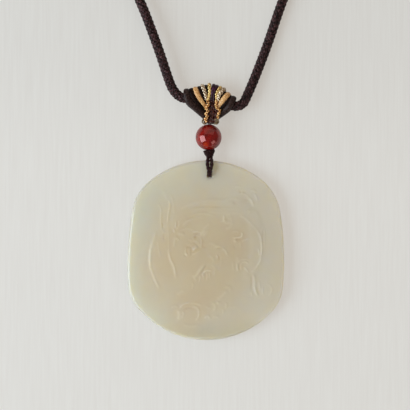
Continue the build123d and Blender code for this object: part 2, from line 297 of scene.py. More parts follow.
@dataclass(frozen=True)
class PolishedAgate(Finish):
    """Red carnelian agate, ground round and polished to a glassy shine.

    The stone is deep red and clear enough that light entering on the lit side comes out again low on
    the far side; that orange glow is painted into its colour, a painted light. Faint bands run through it.
    The polish is drawn dimmer round the bead's widest line, so that the rim stays a deep red.

    Attributes:
        deep: Colour of the dark bands.
        body: Colour of the light bands.
        glow: Colour of the painted glow.
        mirror: Tint of the reflections.
        band_size: Distance between the bands.
        band_tilt: How the bands are turned, in radians.
        painted_glow_place: Where the painted glow lies.
        painted_glow_size: How far it spreads.
        painted_glow_share: How much it covers at that place.
        level: Height of the bead's widest line.
        dimmed: Distances from that line at which the polish is dimmest and is full.
        dimmest: Strength of the polish there.
        coat: Strength of the clear shine over the stone.
    """

    deep: str = "66090A"
    body: str = "820E0B"
    glow: str = "AA3009"
    mirror: str = "FFAAA4"
    band_size: float = 9.0
    band_tilt: Spot = (0.5, 0.3, 0.9)
    painted_glow_place: Spot = (-0.2, 32.5, 6.9)
    painted_glow_size: float = 1.5
    painted_glow_share: float = 0.8
    level: float = 4.0
    dimmed: Place = (0.7, 2.1)
    dimmest: float = 0.03
    coat: float = 0.25

    def inputs(self, add: Adder) -> dict[str, Any]:
        """Mix the deep red, its bands and the painted glow, and dim the polish round the widest line.

        Args:
            add: Adds a node to the material's tree.

        Returns:
            The shader's inputs.
        """
        place = add("ShaderNodeTexCoord").outputs["Object"]
        tilt = add("ShaderNodeMapping", {"Vector": place, "Rotation": self.band_tilt})
        bands = add("ShaderNodeTexWave", {
            "Vector": tilt, "Scale": 1 / (self.band_size * MM), "Distortion": 3.0, "Detail": 3.0,
            "Detail Scale": 2.0})
        tone = add("ShaderNodeValToRGB", {"Fac": bands.outputs["Fac"]})
        set_ramp(tone, [(0.0, self.deep), (1.0, self.body)])
        # The painted glow: orange mixed into the colour round one spot low on the far side, a painted light
        source = tuple(part * MM for part in self.painted_glow_place)
        apart = add("ShaderNodeVectorMath", {0: place, 1: source}, operation="DISTANCE")
        near = add(
            "ShaderNodeMapRange",
            {0: apart.outputs["Value"], 1: self.painted_glow_size * MM, 2: 0.0, 4: self.painted_glow_share},
            interpolation_type="SMOOTHERSTEP")
        lit = add("ShaderNodeMix", {0: near, 6: tone, 7: linear(self.glow)}, data_type="RGBA")
        height = add("ShaderNodeSeparateXYZ", {0: place}).outputs[2]
        raised = add("ShaderNodeMath", {0: height, 1: self.level * MM}, operation="SUBTRACT")
        away = add("ShaderNodeMath", {0: raised}, operation="ABSOLUTE")
        inner, outer = (distance * MM for distance in self.dimmed)
        shine = add(
            "ShaderNodeMapRange", {0: away, 1: inner, 2: outer, 3: self.dimmest, 4: 1.0},
            interpolation_type="SMOOTHSTEP")
        coat = add("ShaderNodeMath", {0: shine, 1: self.coat}, operation="MULTIPLY")
        return {
            "Base Color": lit.outputs[2], "Roughness": 0.06, "IOR": 1.53,
            "Specular Tint": linear(self.mirror), "Specular IOR Level": shine,
            "Subsurface Weight": 0.5, "Subsurface Radius": (1.0, 0.18, 0.08), "Subsurface Scale": 1.6 * MM,
            "Coat Weight": coat, "Coat Roughness": 0.02}


@dataclass(frozen=True)
class ThreadFinish(Finish):
    """A thread or cord of fine filaments, drawn with ribs across it and streaks in its colour. The ribs are
    painted into the colour, painted shade in their hollows and painted highlight on their crests; the
    streaks are a random tone.

    Attributes:
        shade: Colour of the hollows between the filaments, a painted shade, and of the darkest streaks.
        tone: Colour of the filaments.
        glint: Colour of the filaments that catch the light, a painted highlight, and of the lightest streaks.
        rough: Roughness of the surface.
        metal: 1 for a metal foil wrap, 0 for fibre.
        sheen: Soft edge light of loose fibre ends.
        rib: Distance between the ribs, in millimetres.
        relief: Height of the ribs, in millimetres.
        streak: Size of the streaks, in millimetres.
        gloss: Strength of the mirror part of the shine.
        ribbing: How much of the colour follows the ribs, as painted shade and highlight.
    """

    shade: str
    tone: str
    glint: str
    rough: float = 0.4
    metal: float = 0.0
    sheen: float = 0.0
    rib: float = 0.3
    relief: float = 0.03
    streak: float = 0.35
    gloss: float = 0.5
    ribbing: float = 0.45

    def inputs(self, add: Adder) -> dict[str, Any]:
        """Lay the ribs along the strand, with their painted shade and highlight, and mottle the filaments.

        Args:
            add: Adds a node to the material's tree.

        Returns:
            The shader's inputs.
        """
        place = add("ShaderNodeTexCoord").outputs["Object"]
        along = add("ShaderNodeAttribute", attribute_name="along")
        spot = add("ShaderNodeTexNoise", {"Vector": place, "Scale": 1 / (self.streak * MM), "Detail": 3.0})
        turns = FULL_TURN / (self.rib * MM)
        phase = add("ShaderNodeMath", {0: along.outputs["Fac"], 1: turns}, operation="MULTIPLY")
        # The streaks push the ribs out of line by up to this angle
        push = 5.0
        bent = add("ShaderNodeMath", {0: spot, 1: push, 2: phase}, operation="MULTIPLY_ADD")
        wave = add("ShaderNodeMath", {0: bent}, operation="SINE")
        height = add("ShaderNodeMapRange", {0: wave, 1: -1.0, 2: 1.0})
        # The ribs' hollows are painted darker, a painted shade, and their crests lighter, a painted
        # highlight; the streaks add a random tone
        mixed = add("ShaderNodeMath", {0: height, 1: self.ribbing, 2: spot}, operation="MULTIPLY_ADD")
        tone = add("ShaderNodeValToRGB", {"Fac": mixed})
        # The noise's own middle, raised by half of what the ribs add
        middle, spread = 0.48 + self.ribbing / 2, 0.25
        set_ramp(tone, [(middle - spread, self.shade), (middle, self.tone), (middle + spread, self.glint)])
        ribs = add("ShaderNodeBump", {"Strength": 0.8, "Distance": self.relief * MM, "Height": mixed})
        return {
            "Base Color": tone, "Normal": ribs, "Roughness": self.rough,
            "Metallic": self.metal, "Specular IOR Level": self.gloss, "Sheen Weight": self.sheen,
            "Sheen Roughness": 0.4}


@dataclass(frozen=True)
class LaidPaper(Finish):
    """Off-white laid paper, pressed on a ribbed mould.

    Its fibres give a matt surface, and the mould leaves fine lines up the sheet. The sheet also glows a
    little on its own, a painted light that lifts the shadows, and it glows more towards the lower end.

    Attributes:
        tone: Colour of the fibres.
        line: Colour of the mould's lines.
        glow: Colour of the painted glow.
        pitch: Width of a line's grain.
        drawn_out: How the grain is drawn out along the lines.
        line_depth: Depth of the lines.
        painted_lift: Strength of the painted glow at the upper and at the lower end.
        painted_lift_fade: Places up the sheet between which it changes.
    """

    tone: str = "8F9495"
    line: str = "888C8D"
    glow: str = "FFF7ED"
    pitch: float = 0.8
    drawn_out: Spot = (1.0, 0.04, 1.0)
    line_depth: float = 0.05
    painted_lift: Place = (0.42, 0.458)
    painted_lift_fade: Place = (75.0, 15.0)

    def inputs(self, add: Adder) -> dict[str, Any]:
        """Lay the mould's lines and the fibres, and add the painted glow.

        Args:
            add: Adds a node to the material's tree.

        Returns:
            The shader's inputs.
        """
        place = add("ShaderNodeTexCoord").outputs["Object"]
        drawn = add("ShaderNodeMapping", {"Vector": place, "Scale": self.drawn_out})
        lines = add("ShaderNodeTexNoise", {
            "Vector": drawn, "Scale": 1 / (self.pitch * MM), "Detail": 2.0, "Roughness": 0.6})
        tone = add("ShaderNodeValToRGB", {"Fac": lines.outputs["Fac"]})
        set_ramp(tone, [(0.3, self.line), (0.7, self.tone)])
        bump = add("ShaderNodeBump", {"Strength": 0.15, "Distance": self.line_depth * MM, "Height": lines})
        # The painted glow, which lifts the shadows, stronger towards the lower end
        height = add("ShaderNodeSeparateXYZ", {0: place}).outputs[1]
        top, bottom = (edge * MM for edge in self.painted_lift_fade)
        painted_glow_strength = add(
            "ShaderNodeMapRange", {0: height, 1: top, 2: bottom, 3: self.painted_lift[0], 4: self.painted_lift[1]},
            interpolation_type="SMOOTHSTEP")
        return {
            "Base Color": tone, "Normal": bump, "Roughness": 0.85,
            "Emission Color": linear(self.glow), "Emission Strength": painted_glow_strength}


JADE = PolishedJade("nephrite_jade_waxed")
AGATE = PolishedAgate("carnelian_agate_polished")
# Waxed nylon: near black, a soft shine on the plies
WAXED_THREAD = ThreadFinish("waxed_nylon_thread", "080403", "200D0C", "422425", rough=0.42, gloss=0.12)
# Rayon satin over a core: a close, silky surface with a broad soft shine
DARK_SATIN = ThreadFinish(
    "black_brown_satin_cord", "0C0706", "251613", "4A3833", rough=0.38, relief=0.01, gloss=0.15, ribbing=0.1)
# The same satin made black and duller, for the cords and fillings that lie deeper in the fan: partly
# their own dark, partly a painted shade for the gaps between the strands
BLACK_SATIN_SHADE = ThreadFinish(
    "black_satin_shade_cord", "040202", "120907", "2C1A12", rough=0.5, relief=0.01, gloss=0.06, ribbing=0.1)
# The same satin dyed a dark plum, with broad lighter purple streaks, a painted sheen that changes along it
PLUM_SATIN = ThreadFinish(
    "plum_satin_cord", "0C0405", "2C1014", "44193C", rough=0.38, relief=0.01, streak=0.9, gloss=0.2,
    ribbing=0.1)
# Undyed tan satin: a warm, even tone with fine ribs of its winding
TAN_SATIN = ThreadFinish(
    "tan_satin_cord", "966030", "CE985A", "F2CE98", sheen=0.1, rib=0.36, relief=0.02, ribbing=0.25)
# Satin thread plaited: near black, with flecks of dark red, a painted light where light would shine through
# its dye
KNOT_SATIN = ThreadFinish(
    "red_black_satin_plait", "0D0302", "3A150F", "6A382E", rib=0.4, relief=0.04, streak=0.5, gloss=0.4)
# Metal foil wound on a thread: bright facets between dark hollows, painted along the ribs as highlight and
# shade as well as bumped
SILVER_THREAD = ThreadFinish(
    "silver_foil_thread", "44301E", "C6A882", "F8E8D0", rough=0.34, metal=0.5, rib=0.45, relief=0.08)
GOLD_THREAD = ThreadFinish(
    "gold_foil_thread", "6A3A10", "E9B664", "FFEAA0", rough=0.36, metal=0.45, rib=0.45, relief=0.08)
ROSE_GOLD_THREAD = ThreadFinish(
    "rose_gold_foil_thread", "5A2808", "E29A4E", "FFDA9C", rough=0.36, metal=0.4, rib=0.45, relief=0.08)
# Polyester braid: matt brown-black with lighter flecks and rib crests, partly the yarn's mottled tone and
# partly painted highlight
BRAIDED_CORD = ThreadFinish(
    "braided_polyester_cord", "030101", "180907", "5A3C3E", rough=0.42, rib=0.28, streak=0.8, gloss=0.16,
    ribbing=0.25)
# Nylon thread ends stiff with glue: a paler, even olive brown
FRAYED_THREAD = ThreadFinish("olive_thread_end", "2A2016", "6A563E", "A48C68", sheen=0.1)
PAPER = LaidPaper("laid_paper_off_white")


def link_object(name: str, data: bpy.types.ID) -> bpy.types.Object:
    """Put a mesh, a light or a camera in the scene as an object at the origin.

    Args:
        name: The object's name.
        data: What it shows.

    Returns:
        The new object.
    """
    piece = bpy.data.objects.new(name, data)
    bpy.context.scene.collection.objects.link(piece)
    return piece


def bake(holder: bpy.types.Object, name: str) -> bpy.types.Mesh:
    """Turn an object with live modifiers into a plain mesh and remove the object.

    Args:
        holder: The object that carries the modifiers.
        name: The new mesh's name.

    Returns:
        The evaluated mesh.
    """
    graph = bpy.context.evaluated_depsgraph_get()
    mesh = bpy.data.meshes.new_from_object(holder.evaluated_get(graph), depsgraph=graph)
    mesh.name = name
    old = holder.data
    bpy.data.objects.remove(holder)
    if isinstance(old, bpy.types.Mesh):
        bpy.data.meshes.remove(old)
    return mesh


def smoothed(mesh: bpy.types.Mesh) -> bpy.types.Mesh:
    """Shade all faces of a mesh smooth and return it."""
    mesh.polygons.foreach_set("use_smooth", np.ones(len(mesh.polygons), bool))
    return mesh


def values_of(rows: Any, name: str, kind: type, width: int = 1) -> Array:
    """Read a value of every row of mesh data.

    Args:
        rows: The vertices, loops, faces or attribute values.
        name: The value's name.
        kind: Its number type.
        width: Numbers in one value.

    Returns:
        The numbers, one after the other.
    """
    values = np.zeros(len(rows) * width, kind)
    rows.foreach_get(name, values)
    return values


def keep(mesh: bpy.types.Mesh, name: str, values: Array) -> None:
    """Store one number for each point of a mesh as a named attribute."""
    mesh.attributes.new(name, "FLOAT", "POINT").data.foreach_set("value", values)


def shell(
    name: str, points: Array, faces: Sequence[Sequence[int]], finish: Finish | None = None,
) -> bpy.types.Mesh:
    """Make a smooth mesh from points in millimetres.

    Args:
        name: The mesh's name.
        points: One row of x, y and z for each point.
        faces: Point numbers of each face.
        finish: Its finish, if it has one already.

    Returns:
        The mesh.
    """
    mesh = bpy.data.meshes.new(name)
    mesh.from_pydata((np.asarray(points) * MM).tolist(), [], faces)
    mesh.update()
    if finish:
        mesh.materials.append(finish.make())
    return smoothed(mesh)


def band_faces(rows: int, sides: int, closed: bool = False) -> list[tuple[int, int, int, int]]:
    """Join rings of points that follow each other with four-sided faces.

    Args:
        rows: Number of rings.
        sides: Points in each ring.
        closed: Whether the last ring joins the first.

    Returns:
        The faces, which look outwards where the rings go up and turn anticlockwise.
    """
    faces = []
    for row in range(rows if closed else rows - 1):
        low, high = row * sides, (row + 1) % rows * sides
        faces += [(low + i, low + (i + 1) % sides, high + (i + 1) % sides, high + i) for i in range(sides)]
    return faces


def joined(name: str, meshes: Sequence[bpy.types.Mesh]) -> bpy.types.Mesh:
    """Join meshes into one with the first one's finish.

    Args:
        name: The new mesh's name.
        meshes: The meshes, which are used up.

    Returns:
        The joined mesh, with the attribute that runs along its strands.
    """
    points, along, loops, starts = [], [], [], []
    vertex_total, loop_total = 0, 0
    for mesh in meshes:
        count = len(mesh.vertices)
        points.append(values_of(mesh.vertices, "co", np.float32, 3))
        kept = mesh.attributes.get("along")
        along.append(values_of(kept.data, "value", np.float32) if kept else np.zeros(count, np.float32))
        loops.append(values_of(mesh.loops, "vertex_index", np.int32) + vertex_total)
        starts.append(values_of(mesh.polygons, "loop_start", np.int32) + loop_total)
        vertex_total += count
        loop_total += len(mesh.loops)
    result = bpy.data.meshes.new(name)
    result.vertices.add(vertex_total)
    result.vertices.foreach_set("co", np.concatenate(points))
    result.loops.add(loop_total)
    result.loops.foreach_set("vertex_index", np.concatenate(loops))
    result.polygons.add(sum(len(first) for first in starts))
    result.polygons.foreach_set("loop_start", np.concatenate(starts))
    result.update(calc_edges=True)
    keep(result, "along", np.concatenate(along))
    result.materials.append(meshes[0].materials[0])
    for mesh in meshes:
        bpy.data.meshes.remove(mesh)
    return smoothed(result)


def settle(name: str, mesh: bpy.types.Mesh, slot: str, *nodes: str) -> None:
    """Hand a finished mesh over to the frame as a piece.

    Args:
        name: The piece's name.
        mesh: Its mesh, in place.
        slot: The record's material slot; not used.
        nodes: The CAD nodes that it stands for.
    """
    piece = link_object(name, mesh)
    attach(piece, BODY)
    if nodes:
        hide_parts(*nodes)
    LOG.info("%s: %d faces", name, len(mesh.polygons))


@dataclass
class Route:
    """The way of a cord: control points of its smooth line, in millimetres."""

    points: Sequence[Point]
    closed: bool = False
    fineness: int = 16

    def line(self) -> Array:
        """Let Blender work out the smooth line.

        Returns:
            Its points in millimetres, the first one repeated if it closes.
        """
        curve = bpy.data.curves.new("route", "CURVE")
        curve.dimensions = "3D"
        curve.resolution_u = self.fineness
        spline = curve.splines.new("NURBS")
        spline.points.add(len(self.points) - 1)
        for spot, (x, y, z) in zip(spline.points, self.points):
            spot.co = (x * MM, y * MM, z * MM, 1.0)
        spline.order_u = 3
        spline.use_cyclic_u = self.closed
        spline.use_endpoint_u = not self.closed
        mesh = bake(bpy.data.objects.new("route", curve), "route")
        line = values_of(mesh.vertices, "co", np.float32, 3).reshape(-1, 3).astype(float) / MM
        bpy.data.meshes.remove(mesh)
        return np.vstack([line, line[:1]]) if self.closed else line


def lengths_along(line: Array) -> Array:
    """Return the length from the line's start to each of its points."""
    return np.concatenate([[0.0], np.cumsum(np.linalg.norm(np.diff(line, axis=0), axis=1))])


def headings(line: Array) -> Array:
    """Find the direction of a line at each of its points.

    Args:
        line: The line's points; a closed line repeats its first one.

    Returns:
        One unit vector for each point.
    """
    ahead = np.vstack([line[1:], line[-1:]])
    behind = np.vstack([line[:1], line[:-1]])
    if np.allclose(line[0], line[-1]):
        ahead[-1], behind[0] = line[1], line[-2]
    way = ahead - behind
    return way / np.linalg.norm(way, axis=1)[:, None]


def side_vectors(line: Array, carry: Carry) -> Array:
    """Find a direction square to the line at each of its points.

    Args:
        line: The line's points.
        carry: LEVEL keeps it level with the table, FREE turns it as little as it can.

    Returns:
        One unit vector for each point.
    """
    up, across = np.array((0.0, 0.0, 1.0)), np.array((1.0, 0.0, 0.0))
    way = headings(line)
    if carry is Carry.LEVEL:
        sides = np.cross(way, up)
        return sides / np.linalg.norm(sides, axis=1)[:, None]
    steep = 0.8
    guess = up if abs(way[0][2]) < steep else across
    sides = []
    for heading in way:
        guess = guess - heading * (guess @ heading)
        guess = guess / np.linalg.norm(guess)
        sides.append(guess)
    return np.array(sides)


def strand_path(
    line: Array, carry: Carry = Carry.FREE, girth: Array | None = None, start: float = 0.0,
) -> bpy.types.Mesh:
    """Make the bare line that strands are wound along.

    Args:
        line: Points in millimetres.
        carry: How the strands' side is carried along.
        girth: Thickness at each point as a share, or None for an even strand.
        start: Length at the first point, in millimetres.

    Returns:
        A mesh of points and edges with the attributes along, side and girth.
    """
    mesh = bpy.data.meshes.new("path")
    mesh.from_pydata((line * MM).tolist(), [(i, i + 1) for i in range(len(line) - 1)], [])
    keep(mesh, "along", (lengths_along(line) + start) * MM)
    sides = side_vectors(line, carry).ravel()
    mesh.attributes.new("side", "FLOAT_VECTOR", "POINT").data.foreach_set("vector", sides)
    keep(mesh, "girth", np.ones(len(line)) if girth is None else girth)
    return mesh


class WindingTree:
    """The node tree that winds strands round a path, made once for all cords."""

    sizes: ClassVar[dict[str, str]] = {
        "Strands": "Int", "Lay Radius": "Float", "Strand Radius": "Float", "Turn": "Float", "Weave": "Float",
        "Crossings": "Float", "Step": "Float", "Sides": "Int", "Flatness": "Float", "Finish": "Material"}

    def __init__(self) -> None:
        """Build the tree."""
        self.tree = bpy.data.node_groups.new("wound_strands", "GeometryNodeTree")
        self.keys: dict[str, str] = {}
        face = self.tree.interface
        face.new_socket("Path", in_out="INPUT", socket_type="NodeSocketGeometry")
        for name, kind in self.sizes.items():
            self.keys[name] = face.new_socket(
                name, in_out="INPUT", socket_type=f"NodeSocket{kind}").identifier
        face.new_socket("Cord", in_out="OUTPUT", socket_type="NodeSocketGeometry")
        self.wire()

    def wire(self) -> None:
        """Add and link the nodes: copy the path for each strand, turn it round, give it thickness."""
        add = partial(add_node, self.tree)
        given = add("NodeGroupInput").outputs
        curve = add("GeometryNodeMeshToCurve", {"Mesh": given["Path"]})
        even = add("GeometryNodeResampleCurve", {"Curve": curve, "Length": given["Step"]}, mode="LENGTH")
        copies = add(
            "GeometryNodeDuplicateElements", {"Geometry": even, "Amount": given["Strands"]}, domain="SPLINE")
        along, side, girth = (
            add("GeometryNodeInputNamedAttribute", {"Name": name}, data_type=kind)
            for name, kind in (("along", "FLOAT"), ("side", "FLOAT_VECTOR"), ("girth", "FLOAT")))
        way = add("GeometryNodeInputTangent")
        across = add("ShaderNodeVectorMath", {0: way, 1: side}, operation="CROSS_PRODUCT")
        binormal = add("ShaderNodeVectorMath", {0: across}, operation="NORMALIZE")
        upright = add("ShaderNodeVectorMath", {0: binormal, 1: way}, operation="CROSS_PRODUCT")
        share = add(
            "ShaderNodeMath", {0: copies.outputs["Duplicate Index"], 1: given["Strands"]}, operation="DIVIDE")
        first = add("ShaderNodeMath", {0: share, 1: FULL_TURN}, operation="MULTIPLY")
        angle = add("ShaderNodeMath", {0: along, 1: given["Turn"], 2: first}, operation="MULTIPLY_ADD")
        parts = []
        for heading, wave in ((upright, "COSINE"), (binormal, "SINE")):
            reach = add("ShaderNodeMath", {0: angle}, operation=wave)
            parts.append(add("ShaderNodeVectorMath", {0: heading, "Scale": reach}, operation="SCALE"))
        outward = add("ShaderNodeVectorMath", {0: parts[0], 1: parts[1]}, operation="ADD")
        weave = add("ShaderNodeMath", {0: along, 1: given["Crossings"]}, operation="MULTIPLY")
        over = add("ShaderNodeMath", {0: weave}, operation="COSINE")
        radius = add(
            "ShaderNodeMath", {0: over, 1: given["Weave"], 2: given["Lay Radius"]}, operation="MULTIPLY_ADD")
        shrunk = add("ShaderNodeMath", {0: radius, 1: girth}, operation="MULTIPLY")
        offset = add("ShaderNodeVectorMath", {0: outward, "Scale": shrunk}, operation="SCALE")
        outward_kept = add(
            "GeometryNodeStoreNamedAttribute", {"Geometry": copies, "Name": "outward", "Value": outward},
            data_type="FLOAT_VECTOR", domain="POINT")
        moved = add("GeometryNodeSetPosition", {"Geometry": outward_kept, "Offset": offset})
        kept = add("GeometryNodeInputNamedAttribute", {"Name": "outward"}, data_type="FLOAT_VECTOR")
        turned = add("GeometryNodeSetCurveNormal", {"Curve": moved, "Normal": kept}, mode="FREE")
        ring = add(
            "GeometryNodeCurvePrimitiveCircle",
            {"Resolution": given["Sides"], "Radius": given["Strand Radius"]}, mode="RADIUS")
        flat = add("ShaderNodeCombineXYZ", {0: given["Flatness"], 1: 1.0, 2: 1.0})
        section = add("GeometryNodeTransform", {"Geometry": ring, "Scale": flat})
        tube = add("GeometryNodeCurveToMesh", {
            "Curve": turned, "Profile Curve": section, "Scale": girth, "Fill Caps": True})
        smooth = add("GeometryNodeSetShadeSmooth", {"Geometry": tube})
        real = add("GeometryNodeRealizeInstances", {"Geometry": smooth})
        dressed = add("GeometryNodeSetMaterial", {"Geometry": real, "Material": given["Finish"]})
        add("NodeGroupOutput", {0: dressed})


@dataclass(frozen=True)
class Winding:
    """How the strands of a cord lie, in millimetres.

    Attributes:
        strands: Number of strands that turn the same way.
        lay_radius: Distance of the strands' middles from the cord's middle.
        strand_radius: Radius of one strand.
        lay: Length of one full turn, or 0 for strands that don't turn.
        weave: How far a strand of a braid dips and rises at its crossings.
        step: Distance between the rings of points.
        sides: Points round one strand.
        flatness: Thickness of a strand outwards as a share of its width.
    """

    strands: int = 1
    lay_radius: float = 0.0
    strand_radius: float = 0.5
    lay: float = 0.0
    weave: float = 0.0
    step: float = 0.1
    sides: int = 8
    flatness: float = 1.0

    def wind(
        self, tree: WindingTree, path: bpy.types.Mesh, finish: Finish, twist: Twist = Twist.RIGHT,
    ) -> bpy.types.Mesh:
        """Wind the strands along a path.

        Args:
            tree: The shared node tree.
            path: The bare line from strand_path; it is copied.
            finish: The strands' finish.
            twist: Which way they turn.

        Returns:
            The strands as one plain mesh.
        """
        holder = link_object("winding", path.copy())
        modifier = holder.modifiers.new("strands", "NODES")
        modifier.node_group = tree.tree
        turn = twist.value * FULL_TURN / (self.lay * MM) if self.lay else 0.0
        values = {
            "Strands": self.strands, "Lay Radius": self.lay_radius * MM,
            "Strand Radius": self.strand_radius * MM, "Turn": turn, "Weave": self.weave * MM * twist.value,
            "Crossings": abs(turn) * self.strands, "Step": self.step * MM, "Sides": self.sides,
            "Flatness": self.flatness, "Finish": finish.make()}
        for name, value in values.items():
            modifier[tree.keys[name]] = value
        return bake(holder, "strands")


@dataclass
class StringFrame:
    """The line of the bead and the column: it leans a little and its top lies lower than level."""

    origin: Spot = (0.65, 34.8, 4.0)
    lean: float = 4.5
    dip: float = 2.5

    @property
    def turn(self) -> Matrix:
        """How the string's line is turned in the pendant's frame."""
        return Euler((-math.radians(self.dip), 0, -math.radians(self.lean)), "XYZ").to_matrix()

    def place(self, points: Sequence[Point]) -> list[Spot]:
        """Turn points beside the string into places in the pendant's frame."""
        turn, origin = self.turn, Vector(self.origin)
        return [tuple(turn @ Vector(point) + origin) for point in points]

    def into(self, point: Point) -> Vector:
        """Turn a place in the pendant's frame into one beside the string."""
        return self.turn.transposed() @ (Vector(point) - Vector(self.origin))
